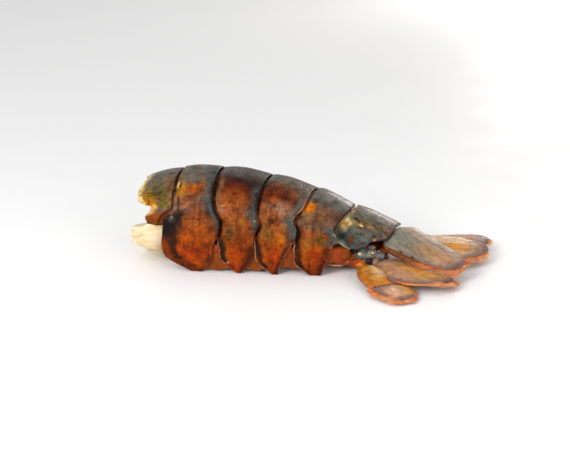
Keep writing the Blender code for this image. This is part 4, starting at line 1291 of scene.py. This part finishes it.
# How wide a plate is within its blade, as shares of it on the -Y and the +Y side, near the end;
# where the rounding of its end starts along it, how blunt the end is, and how far it reaches
Plate = namedtuple("Plate", "wide start blunt long")
PLATES = {
    "middle_blade": Plate((1.02, 1.06), 0.70, 2.8, 1.02),
    "inner_blade_left": Plate((1.38, 1.12), 0.72, 3.4, 1.01),
    "inner_blade_right": Plate((1.10, 1.06), 0.70, 2.7, 1.05),
    "outer_blade_left": Plate((1.02, 1.06), 1.00, 2.0, 1.0),
    "outer_blade_right": Plate((1.00, 0.94), 1.00, 2.0, 1.0),
    "outer_tip_left": Plate((0.96, 1.20), 0.80, 2.9, 1.02),
    "outer_tip_right": Plate((1.05, 0.90), 0.78, 2.7, 1.015),
}


def plate_share(name, t, side):
    """Half width of a plate on one side, as a share of the whole blade's, at t."""
    plate = PLATES[name]
    end = 1.0
    if plate.start < 1:
        past = np.clip((t - plate.start) / (1 - plate.start), 0, 1)
        end = np.maximum(1 - past**plate.blunt, 0) ** (1 / plate.blunt)
    wide = np.where(side < 0, *plate.wide)
    return np.maximum(end * (1 + (wide - 1) * ease(0.20, 0.55, t)), 0.02)


def build_blade(plate, name, blade, settings, finish, start=0.0, stop=1.0):
    """A plate of the fan from the share start to the share stop of its blade's length."""
    rows = max(round(settings.rows * (stop - start)), 24)
    t = spaced(rows, (0.003, 0.010, 0.022))
    if stop >= 1.0:
        t = np.sin(t * math.pi / 2)
    t = (start + (stop - start) * t)[:, None]
    c = (spaced(settings.columns, (0.004, 0.012, 0.028)) * 2 - 1)[None, ::-1]
    t, c = np.broadcast_arrays(t, c)
    share = plate_share(plate, t, np.sign(c))
    far_end = 1 + (PLATES[plate].long - 1) * ease(0.5, 1.0, t)
    plain = blade_form(blade, t * far_end, c * share)
    round_end = 1 - np.clip((t - 0.5) / 0.5, 0, 1) ** 4
    swollen = PUFF * (1 - c**2) ** 0.8 * round_end * ease(-0.05, 0.15, t)
    plain = plain + vectors(0, 0, swollen)
    normals = grid_normals(plain)
    relief = 0.16 * layered(plain, 0.0034, 14.0) + 0.05 * layered(plain, 0.0011, 4.0) - 0.14
    for _, _, height in blade_marks(plate, t, c, plain):
        relief = relief + height
    width = blade.half_width * blade_half_width(blade, t) * share
    across = (1 - np.abs(c)) * width
    ahead = (stop - t) * blade.length
    relief = relief + 0.05 * np.exp(-(((np.minimum(across, ahead) / MM - 0.8) / 0.5) ** 2))
    grid = plain + normals * (relief * MM * settings.relief)[..., None]
    edge = np.minimum(across, np.minimum((t - start) * blade.length, ahead))
    tints = paint_blade(plate, t, c, plain, (across, ahead))
    matrix = blade_matrix(blade)
    grid, normals = placed(grid, matrix), normals @ np.array(matrix)[:3, :3].T
    under = TONES["blade_tan"]
    return closed_sheet(name, grid, normals, BLADE_WALL, edge, finish, tints, under, 4)


# A spine's rings of points: place along it, and width as a share of its greatest
SPINE_RINGS = ((-0.3, 0.8), (0.0, 1.0), (0.45, 0.72), (0.8, 0.34), (1.0, 0.05))


def spike(base, tip, radius, sides=8):
    """Points and faces of one pointed spine."""
    way = (tip - base).normalized()
    across = way.orthogonal().normalized()
    over = way.cross(across)
    points = []
    for share, wide in SPINE_RINGS:
        for k in range(sides):
            angle = 2 * math.pi * k / sides
            off = across * math.cos(angle) + over * math.sin(angle)
            points.append(base + (tip - base) * share + off * radius * wide)
    faces = strip_faces(len(SPINE_RINGS), sides, 0, True).tolist()
    faces.append(tuple(range(sides - 1, -1, -1)))
    faces.append(tuple(range(len(points) - sides, len(points))))
    return np.array(points), faces


def build_spines(name, blade, places, length, finish):
    """Small dark spines that point backwards from the places (t, c) of a blade."""
    matrix = blade_matrix(blade)
    forms = []
    for t, c in places:
        root = Vector(blade_form(blade, np.array(t), np.array(c)))
        root.z += PUFF * (1 - c * c) * 0.5 - 0.0002
        tip = root + Vector((length, 0.35 * length * c, 0.10 * length))
        forms.append((*spike(matrix @ root, matrix @ tip, 0.22 * length), TONES["dark_brown"]))
    points, faces, tints = joined(forms)
    return finish_mesh(name, points, faces, finish, tints)


# The fringe of a blade: the blade, the plate it hangs from, where it starts on the -Y and on
# the +Y side, the side on which it is dark, how far it hangs down on either side, and its
# length as a share of the blade's fringe
Fringe = namedtuple("Fringe", "blade plate starts dark_side drops reach")
FRINGES = {
    "fringe_middle": Fringe(TELSON, "middle_blade", (0.06, 0.45), -1, (0.0024, 0.0010), 1.0),
    "fringe_inner_left": Fringe(
        INNER_BLADES["left"], "inner_blade_left", (0.66, 0.40), -1, (0.0002, 0.0012), 1.0
    ),
    "fringe_inner_right": Fringe(
        INNER_BLADES["right"], "inner_blade_right", (0.35, 0.45), 0, (0.0026, 0.0008), 1.0
    ),
    "fringe_outer_left": Fringe(
        OUTER_BLADES["left"], "outer_tip_left", (0.56, 0.70), 0, (0.0006, 0.0004), 0.80
    ),
    "fringe_outer_right": Fringe(
        OUTER_BLADES["right"], "outer_tip_right", (0.60, 0.46), 0, (0.0010, 0.0006), 0.60
    ),
}


def evenly(points, count):
    """The same path in that many even steps."""
    steps = np.linalg.norm(np.diff(points, axis=0), axis=1)
    length = np.concatenate([[0.0], np.cumsum(steps)])
    even = np.linspace(0, length[-1], count)
    return np.stack([np.interp(even, length, column) for column in points.T], axis=-1)


def fringe_paths(fringe, count):
    """(roots of a fringe along its plate's edge with their t and c, its outer edge)."""
    blade, (first, last) = fringe.blade, fringe.starts
    turn = np.sin(np.linspace(0, math.pi / 2, count))
    t = np.concatenate([first + (1 - first) * turn, (last + (1 - last) * turn)[::-1]])
    side = np.repeat((-1.0, 1.0), count)
    c = side * plate_share(fringe.plate, t, side)
    roots = evenly(np.column_stack([blade_form(blade, t, c), t, side]), count)
    t = np.concatenate([np.linspace(first, 1, count), np.ones(count), np.linspace(1, last, count)])
    c = np.concatenate([-np.ones(count), np.linspace(-1, 1, count), np.ones(count)])
    ways = vectors((t >= 1).astype(float), np.where(t < 1, np.sign(c), 0.5 * c), 0)
    reach = blade.fringe * fringe.reach * ease(0.15, 0.6, t)
    outer = evenly(blade_form(blade, t, c) + unit(ways) * reach[:, None], count)
    for _ in range(10):
        outer[1:-1] = (outer[:-2] + 2 * outer[1:-1] + outer[2:]) / 4
    return roots[:, :3], roots[:, 3], roots[:, 4], outer


# The rows along a fringe that its skirt and hairs are made from: the roots, the directions
# outwards, how far it reaches and hangs down, and its colours at the roots and at the tips
Rows = namedtuple("Rows", "roots rays reach drop near far")
SKIRT_SIDES = 5
# A hair's rings of points: place along it, and width as a share of that at its root
HAIR_RINGS = ((0.0, 1.0), (0.5, 0.85), (1.0, 0.10))


def fringe_rows(fringe, count, seed):
    """The rows of a fringe, with that many places along it."""
    roots, t, c, outer = fringe_paths(fringe, count)
    flat = (outer - roots) * (1, 1, 0)
    place = np.arange(count) / count
    ends = ease(0.0, 0.06, place) * ease(0.0, 0.06, 1 - place)
    waves = layered(vectors(place * 30, 0, seed), 1.0)
    reach = np.linalg.norm(flat, axis=1) * (0.84 + 0.16 * waves) * ends
    drop = (np.where(c < 0, *fringe.drops) + 0.0004) * ends
    dark = ease(0.95, 0.55, t) * (np.sign(c) == fringe.dark_side) * 0.85
    blotches = 0.25 + 0.9 * layered(vectors(place * 14, 0, 2 * seed), 1.0)
    near = mix(TONES["fringe_orange"], TONES["fringe_red"], blotches)
    far = mix(TONES["fringe_pale"], TONES["fringe_orange"], blotches)
    near = mix(near, TONES["fringe_dark"], dark)
    far = mix(far, TONES["fringe_dark"], dark * 0.8)
    return Rows(roots, unit(flat), reach, drop, near, far)


def fringe_skirt(rows):
    """Points, faces and tints of a thin soft skirt, in rows from its top round to its underside."""
    count = len(rows.roots)
    top = rows.roots - rows.rays * 0.0006 - np.array((0, 0, 0.00025))
    tip = rows.roots + rows.rays * (rows.reach * 0.72)[:, None]
    tip[:, 2] -= 0.0006 + rows.drop * 0.8
    middle = (top + tip) / 2 + np.array((0, 0, 0.25)) * rows.drop[:, None]
    under = np.array((0, 0, 0.0004))
    points = np.concatenate([top, middle, tip, middle - under, top - under])
    between = (rows.near + rows.far) / 2
    tints = np.concatenate([rows.near, between, rows.far, rows.far, rows.near])
    faces = []
    for a in range(SKIRT_SIDES):
        first, next_ = a * count, (a + 1) % SKIRT_SIDES * count
        for i in range(count - 1):
            faces.append((first + i, next_ + i, next_ + i + 1, first + i + 1))
    starts = [a * count for a in range(SKIRT_SIDES)]
    faces.append(tuple(starts))
    faces.append(tuple(start + count - 1 for start in reversed(starts)))
    return points, faces, tints


def fringe_hairs(rows, layer, width, rng):
    """Points, faces and tints of one layer of three-sided hairs, which taper to their tips."""
    count = len(rows.roots)
    length = rows.reach * (0.78 + 0.22 * rng.random(count))
    lean = unit(rows.rays + rng.normal(0, 0.14, (count, 3)) * (1, 1, 0.3))
    across = unit(np.cross(lean, (0, 0, 1.0)))
    height = -0.00018 - 0.00016 * layer
    droop = rows.drop * (0.8 + 0.35 * rng.random(count)) + 0.0002 * rng.random(count)
    shade = (0.85 + 0.50 * rng.random(count)) * np.where(rng.random(count) < 0.12, 1.7, 1.0)
    points, faces, tints = [], [], []
    for share, wide in HAIR_RINGS:
        spine = rows.roots - rows.rays * 0.0004 + lean * (length * share)[:, None]
        spine[:, 2] += height - droop * share**1.5
        colours = (rows.near * (1 - share) + rows.far * share) * shade[:, None]
        for turn in range(3):
            angle = 2 * math.pi * turn / 3
            off = across * math.cos(angle) + np.array((0, 0, math.sin(angle)))
            points.append(spine + off * width * wide / 2)
            tints.append(colours)
    for i in range(count):
        # The indices of the hair's nine points, three in each ring
        hair = range(i, 9 * count, count)
        for a in range(3):
            b = (a + 1) % 3
            faces.append((hair[a], hair[b], hair[3 + b], hair[3 + a]))
            faces.append((hair[3 + a], hair[3 + b], hair[6 + b], hair[6 + a]))
        faces.append((hair[2], hair[1], hair[0]))
        faces.append((hair[6], hair[7], hair[8]))
    return np.concatenate(points), faces, np.concatenate(tints)


def build_fringe(name, fringe, settings, finish, seed):
    """The fringe of a blade: a thin soft skirt, and layers of tapering hairs on it."""
    rng = np.random.default_rng(seed)
    rows = fringe_rows(fringe, settings.hairs, seed)
    forms = [fringe_skirt(rows)]
    for layer in range(settings.hair_layers):
        forms.append(fringe_hairs(rows, layer, settings.hair_width, rng))
    points, faces, tints = joined(forms)
    points = placed(points, blade_matrix(fringe.blade))
    points[:, 2] = np.maximum(points[:, 2], 0.0001)
    return finish_mesh(name, points, faces, finish, tints)


def lumpy_ball(centre, size, heading, lumps, seed, sides=36):
    """Points and faces of a rounded lump: a ball with soft bumps and hollows."""
    tilt = np.linspace(0.02, math.pi - 0.02, sides // 2 + 1)[:, None]
    round_ = np.linspace(0, 2 * math.pi, sides, endpoint=False)[None, :]
    way = vectors(np.cos(tilt), np.sin(tilt) * np.cos(round_), np.sin(tilt) * np.sin(round_))
    bumps = 1 + lumps * layered(way, 0.9, seed)
    return closed_tube(turned(way * size * bumps[..., None], heading, centre))


# The lumps of a stalk: place in its own frame in millimetres (back, outwards, up), half
# sizes in millimetres, and tone
STALK_LUMPS = (
    ((-0.6, -0.6, 0.0), (4.6, 3.6, 3.0), "teal"),
    ((-3.2, 1.2, 1.2), (2.2, 2.0, 1.6), "blue_black"),
    ((2.6, 0.2, 0.2), (2.9, 2.3, 2.2), "slate"),
    ((5.2, 0.4, -3.4), (2.1, 1.9, 1.8), "taupe"),
    ((2.8, 1.0, -3.0), (2.0, 1.6, 1.5), "blue_black"),
    ((6.4, -1.0, -0.9), (2.8, 2.0, 1.8), "blue_grey"),
    ((8.6, -1.4, -0.9), (2.0, 1.5, 1.2), "blue_black"),
    ((0.9, 0.6, -3.4), (1.2, 1.0, 1.2), "taupe"),
    ((-1.0, 2.8, 0.4), (1.0, 0.8, 0.7), "bone"),
    ((10.2, -0.6, -0.5), (0.7, 0.6, 0.5), "tan"),
    ((4.0, 1.6, 0.9), (0.7, 0.5, 0.5), "bone"),
    ((3.4, 0.4, 2.9), (1.6, 0.9, 1.0), "slate"),
    ((10.0, -2.2, 1.6), (3.6, 2.4, 1.5), "dark_rust"),
)
# The folds of skin between the belly and a stalk, given in the same way
MEMBRANE_LUMPS = (
    ((-7.4, -1.2, -3.0), (4.6, 3.2, 3.2), "belly_orange"),
    ((-3.6, -0.8, -4.2), (4.2, 2.8, 2.8), "belly_red"),
    ((-1.0, 0.4, -5.0), (2.8, 2.2, 2.0), "orange"),
    ((-5.4, 1.0, -1.6), (3.0, 1.8, 2.2), "rust"),
)


def build_lumps(name, side, lumps, shade, finish):
    """Rounded lumps round the foot of one side's blades, in one piece."""
    origin, back, sideways = fan_origin()
    place = STALK_PLACES[side]
    centre = origin + back * place[0] + sideways * place[1] + Vector((0, 0, place[2]))
    outwards = sideways * SIDES[side]
    heading = math.atan2(back.y, back.x)
    forms = []
    for k, (spot, size, tint) in enumerate(lumps):
        middle = centre + (back * spot[0] + outwards * spot[1] + Vector((0, 0, spot[2]))) * MM
        ball, faces = lumpy_ball(middle, np.array(size) * MM, heading, 0.20, 3.0 + k)
        dark = 0.18 + 0.9 * layered(ball, 0.0014, 4.0)
        forms.append((ball, faces, mix(TONES[tint], TONES[shade], dark)))
    points, faces, tints = joined(forms)
    points[:, 2] = np.maximum(points[:, 2], 0.0003)
    return finish_mesh(name, points, faces, finish, tints)


def foot_leaf(place, heading, length, rows):
    """Points, faces and tints of one veined leaf of a foot, with a thin edge."""
    t = np.linspace(0.01, 0.99, rows)[:, None]
    angle = np.linspace(0, 2 * math.pi, FOOT_SPOKES, endpoint=False)[None, :]
    x, wide = -np.cos(t * math.pi), np.sin(t * math.pi)
    veins = 1 + 0.10 * np.sin(angle * 9 + 4 * t)
    local = vectors(
        (x + 1) * length / 2,
        wide * np.cos(angle) * FOOT_HALF_WIDTH * (0.75 + 0.25 * x),
        wide * np.sin(angle) * FOOT_WALL * 0.85 * veins,
    )
    faces = strip_faces(rows, FOOT_SPOKES, 0, True).tolist()
    faces.append(tuple(range(FOOT_SPOKES - 1, -1, -1)))
    faces.append(tuple(range((rows - 1) * FOOT_SPOKES, rows * FOOT_SPOKES)))
    pale = ease(0.5, 1.0, np.abs(np.cos(angle)))
    tints = mix(TONES["belly_orange"], TONES["foot_pale"], pale)
    return turned(local, heading, place), faces, tints


def build_foot(number, side, settings, finish):
    """A swimming foot folded flat under the belly: two veined leaves with thin edges."""
    sign = SIDES[side]
    s = BORDERS[number - 1] + 0.35 * RING_LENGTHS[number - 1]
    point, back, sideways = (Vector(v) for v in midline(s))
    out = float(along(HALF_WIDTHS, s)) * FOOT_SPREAD * sign
    root = point + sideways * out + Vector((0, 0, FOOT_HEIGHT))
    second = root - sideways * sign * FOOT_LEAF_GAP
    heading, splay = math.atan2(back.y, back.x), sign * FOOT_SPLAY
    forms = (
        foot_leaf(root, heading + splay, FOOT_LENGTH, settings.foot_rows),
        foot_leaf(second, heading - splay, FOOT_LENGTH * SECOND_LEAF_SHARE, settings.foot_rows),
    )
    points, faces, tints = joined(forms)
    return finish_mesh(f"foot_{number}_{side}", points, faces, finish, tints)


class ShellSettings(bpy.types.PropertyGroup):
    rows: bpy.props.IntProperty(
        name="Rows", description="Rows of points along each ring", default=96, min=20, max=160
    )
    columns: bpy.props.IntProperty(
        name="Columns", description="Points round each ring", default=330, min=60, max=480
    )
    relief: bpy.props.FloatProperty(
        name="Relief", description="Strength of bumps, grooves and rims", default=1.0,
        min=0.0, max=2.0, subtype="FACTOR",
    )
    pits: bpy.props.FloatProperty(
        name="Pits", description="Strength of the fine pits", default=0.6,
        min=0.0, max=1.0, subtype="FACTOR",
    )
    speckle: bpy.props.FloatProperty(
        name="Speckle", description="Strength of the dark specks", default=0.55,
        min=0.0, max=1.0, subtype="FACTOR",
    )
    wetness: bpy.props.FloatProperty(
        name="Wetness", description="Weight of the water film", default=0.11,
        min=0.0, max=1.0, subtype="FACTOR",
    )


class FleshSettings(bpy.types.PropertyGroup):
    spokes: bpy.props.IntProperty(
        name="Spokes", description="Points round the meat", default=240, min=24, max=400
    )
    bulge_steps: bpy.props.IntProperty(
        name="Bulge steps", description="Rows of points over the torn end",
        default=90, min=8, max=160,
    )
    raggedness: bpy.props.FloatProperty(
        name="Raggedness", description="Depth of the torn strands", default=1.0,
        min=0.0, max=2.0, subtype="FACTOR",
    )


class BellySettings(bpy.types.PropertyGroup):
    rows: bpy.props.IntProperty(
        name="Rows", description="Rows of points along the belly skin", default=180, min=25, max=300
    )
    columns: bpy.props.IntProperty(
        name="Columns", description="Points across the belly skin", default=110, min=11, max=200
    )
    folds: bpy.props.FloatProperty(
        name="Folds", description="Depth of the wrinkles, in millimetres",
        default=0.3, min=0.0, max=1.0,
    )
    foot_rows: bpy.props.IntProperty(
        name="Foot rows", description="Rows of points along a foot's leaf",
        default=30, min=8, max=60,
    )


class FanSettings(bpy.types.PropertyGroup):
    rows: bpy.props.IntProperty(
        name="Rows", description="Rows of points along each blade", default=90, min=12, max=160
    )
    columns: bpy.props.IntProperty(
        name="Columns", description="Points across each blade", default=90, min=12, max=160
    )
    relief: bpy.props.FloatProperty(
        name="Relief", description="Strength of the blades' ribs", default=1.0,
        min=0.0, max=2.0, subtype="FACTOR",
    )
    wetness: bpy.props.FloatProperty(
        name="Wetness", description="Weight of the water film", default=0.10,
        min=0.0, max=1.0, subtype="FACTOR",
    )
    spines: bpy.props.IntProperty(
        name="Spines", description="Small spines along an outer blade's joint",
        default=11, min=1, max=30,
    )
    hairs: bpy.props.IntProperty(
        name="Hairs", description="Hairs in each layer of a blade's fringe",
        default=420, min=20, max=900,
    )
    hair_layers: bpy.props.IntProperty(
        name="Hair layers", description="Layers of hairs in a fringe", default=3, min=1, max=5
    )
    hair_width: bpy.props.FloatProperty(
        name="Hair width", description="Width of a hair at its root", default=0.00016,
        min=0.00002, max=0.001, unit="LENGTH", precision=5,
    )


class StageSettings(bpy.types.PropertyGroup):
    azimuth: bpy.props.FloatProperty(
        name="Azimuth", description="Turn of the camera round the tail",
        default=math.radians(10.0), subtype="ANGLE", unit="ROTATION",
    )
    elevation: bpy.props.FloatProperty(
        name="Elevation", description="Height of the camera above the horizon",
        default=math.radians(17.0), subtype="ANGLE", unit="ROTATION",
    )
    distance: bpy.props.FloatProperty(
        name="Distance", description="From the camera to the tail", default=0.6064, unit="LENGTH"
    )
    focal_pixels: bpy.props.FloatProperty(
        name="Focal length", description="In pixels of a picture 570 wide", default=1412.5
    )
    floor: bpy.props.FloatVectorProperty(
        name="Floor", description="Colour of the floor", default=(0.95, 0.95, 0.95),
        size=3, subtype="COLOR", min=0.0, max=1.0,
    )
    daylight: bpy.props.FloatProperty(
        name="Daylight", description="Strength of the even white light", default=0.68
    )


class BuildShell(bpy.types.Operator):
    """Build the rings of the shell with their side flaps"""

    bl_idname = "lobster_tail.shell"
    bl_label = "Shell"

    def execute(self, context):
        settings = context.scene.tail_shell
        looks = (settings.pits, settings.speckle, settings.wetness)
        ends = {
            1: ("shell_front", shell_finish("front_shell", *looks)),
            6: ("shell_rear", shell_finish("rear_shell", *looks)),
        }
        middle = ("shell", shell_finish("shell", *looks))
        for number in range(1, 7):
            slot, finish = ends.get(number, middle)
            place_piece(build_ring(number, settings, finish), slot, f"ring_{number}")
        return {"FINISHED"}


class BuildFlesh(bpy.types.Operator):
    """Build the meat that fills the shell and swells out of its cut end"""

    bl_idname = "lobster_tail.flesh"
    bl_label = "Flesh"

    def execute(self, context):
        piece = build_flesh(context.scene.tail_flesh, flesh_finish("raw_meat"))
        place_piece(piece, "flesh", "flesh")
        return {"FINISHED"}


class BuildBelly(bpy.types.Operator):
    """Build the belly skin and the folded swimming feet"""

    bl_idname = "lobster_tail.belly"
    bl_label = "Belly"

    def execute(self, context):
        settings = context.scene.tail_belly
        finish = belly_finish("belly_skin")
        place_piece(build_belly(settings, finish), "belly", "belly")
        for side in SIDES:
            place_piece(build_side_skin(side, settings, finish), "belly")
        for number in FEET_RINGS:
            for side in SIDES:
                piece = build_foot(number, side, settings, finish)
                place_piece(piece, "belly", f"belly_foot_{number}_{side}")
        return {"FINISHED"}


# Spines stand at these places (t, c) of the middle blade, and in a row between these two
# places across an outer blade, that far ahead of its joint
MIDDLE_SPINES = ((0.34, -0.94), (0.34, 0.94), (0.52, -0.95), (0.52, 0.95))
MIDDLE_SPINE_LENGTH = 0.0018
JOINT_SPINES = (-0.72, 0.9)
JOINT_SPINES_AHEAD = 0.012
JOINT_SPINE_LENGTH = 0.0013


class BuildFan(bpy.types.Operator):
    """Build the blades of the tail fan and their small spines"""

    bl_idname = "lobster_tail.fan"
    bl_label = "Fan"

    def execute(self, context):
        settings = context.scene.tail_fan
        finish = blade_finish("fan_blade", settings.wetness)
        middle = blade_finish("middle_blade", settings.wetness)
        piece = build_blade("middle_blade", "middle_blade", TELSON, settings, middle)
        place_piece(piece, "telson", "telson")
        piece = build_spines("middle_spines", TELSON, MIDDLE_SPINES, MIDDLE_SPINE_LENGTH, middle)
        place_piece(piece, "telson")
        for side in SIDES:
            inner, outer = INNER_BLADES[side], OUTER_BLADES[side]
            after = OUTER_BLADE_JOINT + JOINT_GAP / outer.length
            made = (
                ("inner_blade", inner, 0.0, 1.0),
                ("outer_blade", outer, 0.0, OUTER_BLADE_JOINT),
                ("outer_tip", outer, after, 1.0),
            )
            for part, blade, start, stop in made:
                node = f"{part}_{side}"
                piece = build_blade(node, f"{node}_plate", blade, settings, finish, start, stop)
                place_piece(piece, "fan", node)
            places = np.linspace(*JOINT_SPINES, settings.spines)
            row = [(OUTER_BLADE_JOINT - JOINT_SPINES_AHEAD, c) for c in places]
            piece = build_spines(f"joint_spines_{side}", outer, row, JOINT_SPINE_LENGTH, finish)
            place_piece(piece, "fan")
        return {"FINISHED"}


class BuildFringe(bpy.types.Operator):
    """Build the hairy fringe round the end of each blade"""

    bl_idname = "lobster_tail.fringe"
    bl_label = "Fringe"

    def execute(self, context):
        settings = context.scene.tail_fan
        finish = fringe_finish("fringe_hair")
        for seed, (name, fringe) in enumerate(FRINGES.items(), 40):
            place_piece(build_fringe(name, fringe, settings, finish, seed), "fan")
        return {"FINISHED"}


class BuildStalks(bpy.types.Operator):
    """Build the knuckles that carry the side blades, and the skin folds before them"""

    bl_idname = "lobster_tail.stalks"
    bl_label = "Stalks"

    def execute(self, context):
        settings = context.scene.tail_shell
        finish = shell_finish("stalk_shell", settings.pits, settings.speckle, settings.wetness)
        skin = belly_finish("fold_skin")
        for side in SIDES:
            piece = build_lumps(f"stalk_{side}_knuckle", side, STALK_LUMPS, "band", finish)
            place_piece(piece, "shell_rear", f"stalk_{side}")
            piece = build_lumps(f"folds_{side}", side, MEMBRANE_LUMPS, "dark_red", skin)
            place_piece(piece, "belly")
        return {"FINISHED"}


# The camera is turned so that this place falls on this pixel of a picture of this size
AIM = np.array(BEND_CENTRE) + np.array((0.020, 0.0, 0.015))
AIM_PIXEL = (313.02, 226.64)
PICTURE = (570, 470)
SENSOR_MM = 36.0

# The lamps: name, place, size, power and colour. All of them point at one place.
LAMPS = (
    ("key", (-0.34, -0.72, 0.42), 0.34, 4.6, (1.0, 1.0, 1.0)),
    ("glint", (-0.20, -0.45, 0.55), 0.04, 0.5, (1.0, 1.0, 1.0)),
    ("rim", (0.10, 0.90, 0.16), 0.16, 0.6, (1.0, 0.92, 0.88)),
    ("fill", (0.50, -0.70, 0.26), 0.40, 2.2, (1.0, 1.0, 1.0)),
)
LAMP_TARGET = Vector((0, 0, 0.015))

# The floor's half size, and its height just below the feet of the flaps
FLOOR_HALF = 3.0
FLOOR_HEIGHT = -0.00005


class BuildStage(bpy.types.Operator):
    """Set up the floor, the soft lights and the camera"""

    bl_idname = "lobster_tail.stage"
    bl_label = "Stage"

    def camera(self, scene, settings):
        """Places the camera round the tail."""
        a, e = settings.azimuth, settings.elevation
        back = Vector((math.sin(a) * math.cos(e), -math.cos(a) * math.cos(e), math.sin(e)))
        right = Vector((math.cos(a), math.sin(a), 0))
        up = back.cross(right)
        place = Vector(AIM) + back * settings.distance
        across = (PICTURE[0] / 2 - AIM_PIXEL[0]) / settings.focal_pixels
        above = (AIM_PIXEL[1] - PICTURE[1] / 2) / settings.focal_pixels
        back = (back - right * across - up * above).normalized()
        right = (right - back * right.dot(back)).normalized()
        matrix = Matrix((right, back.cross(right), back)).transposed().to_4x4()
        matrix.translation = place
        camera = bpy.data.cameras.new("camera")
        camera.sensor_width = SENSOR_MM
        camera.lens = settings.focal_pixels * SENSOR_MM / PICTURE[0]
        camera.clip_start = 0.01
        made = bpy.data.objects.new("camera", camera)
        made.matrix_world = matrix
        scene.collection.objects.link(made)
        scene.camera = made

    def lamp(self, scene, name, place, size, power, colour):
        """Places one round, soft lamp."""
        light = bpy.data.lights.new(name, "AREA")
        light.shape = "DISK"
        light.size = size
        light.energy = power
        light.color = colour
        made = bpy.data.objects.new(name, light)
        made.location = place
        ray = LAMP_TARGET - Vector(place)
        made.rotation_euler = ray.to_track_quat("-Z", "Y").to_euler()
        scene.collection.objects.link(made)

    def execute(self, context):
        scene, settings = context.scene, context.scene.tail_stage
        self.camera(scene, settings)
        for lamp in LAMPS:
            self.lamp(scene, *lamp)
        world = bpy.data.worlds.new("daylight")
        world.use_nodes = True
        background = world.node_tree.nodes["Background"]
        background.inputs["Color"].default_value = (1, 1, 1, 1)
        background.inputs["Strength"].default_value = settings.daylight
        scene.world = world
        scene.view_settings.view_transform = "Standard"
        nodes = Nodes("pale_floor")
        roughness = nodes.span(nodes.noise(0.05, 2.0, 0.5), 0.3, 0.7, 0.5, 0.6)
        normal = nodes.bump(nodes.noise(0.004), 0.00002, 0.1)
        finish = nodes.done((*settings.floor, 1.0), roughness, normal)
        corners = np.array([(x, y, 0.0) for x, y in ((-1, -1), (1, -1), (1, 1), (-1, 1))])
        points = corners * FLOOR_HALF + np.array((0, 0, FLOOR_HEIGHT))
        floor = finish_mesh("floor", points, [(0, 1, 2, 3)], finish)
        floor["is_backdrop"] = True
        return {"FINISHED"}


OPERATORS = (BuildShell, BuildFlesh, BuildBelly, BuildFan, BuildFringe, BuildStalks, BuildStage)


class TailPanel(bpy.types.Panel):
    """Buttons for each part of the lobster tail, with its settings"""

    bl_idname = "VIEW3D_PT_lobster_tail"
    bl_label = "Lobster Tail"
    bl_space_type = "VIEW_3D"
    bl_region_type = "UI"
    bl_category = "Lobster Tail"

    def draw(self, context):
        for name in SETTINGS:
            group = getattr(context.scene, name)
            box = self.layout.box()
            for key in group.bl_rna.properties.keys():
                if key not in ("rna_type", "name"):
                    box.prop(group, key)
        for operator in OPERATORS:
            self.layout.operator(operator.bl_idname)


SETTINGS = {
    "tail_shell": ShellSettings,
    "tail_flesh": FleshSettings,
    "tail_belly": BellySettings,
    "tail_fan": FanSettings,
    "tail_stage": StageSettings,
}


def register():
    for group in SETTINGS.values():
        bpy.utils.register_class(group)
    for name, group in SETTINGS.items():
        setattr(bpy.types.Scene, name, bpy.props.PointerProperty(type=group))
    for operator in OPERATORS:
        bpy.utils.register_class(operator)
    bpy.utils.register_class(TailPanel)


def unregister():
    bpy.utils.unregister_class(TailPanel)
    for operator in reversed(OPERATORS):
        bpy.utils.unregister_class(operator)
    for name in SETTINGS:
        delattr(bpy.types.Scene, name)
    for group in reversed(list(SETTINGS.values())):
        bpy.utils.unregister_class(group)


def main():
    register()
    bpy.ops.lobster_tail.shell()
    bpy.ops.lobster_tail.flesh()
    bpy.ops.lobster_tail.belly()
    bpy.ops.lobster_tail.fan()
    bpy.ops.lobster_tail.fringe()
    bpy.ops.lobster_tail.stalks()
    bpy.ops.lobster_tail.stage()
    boxes = {"cad": cad_box, "visual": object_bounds()}
    sizes = {key: [list(corner) for corner in box] for key, box in boxes.items()}


if __name__ == "__main__":
    main()
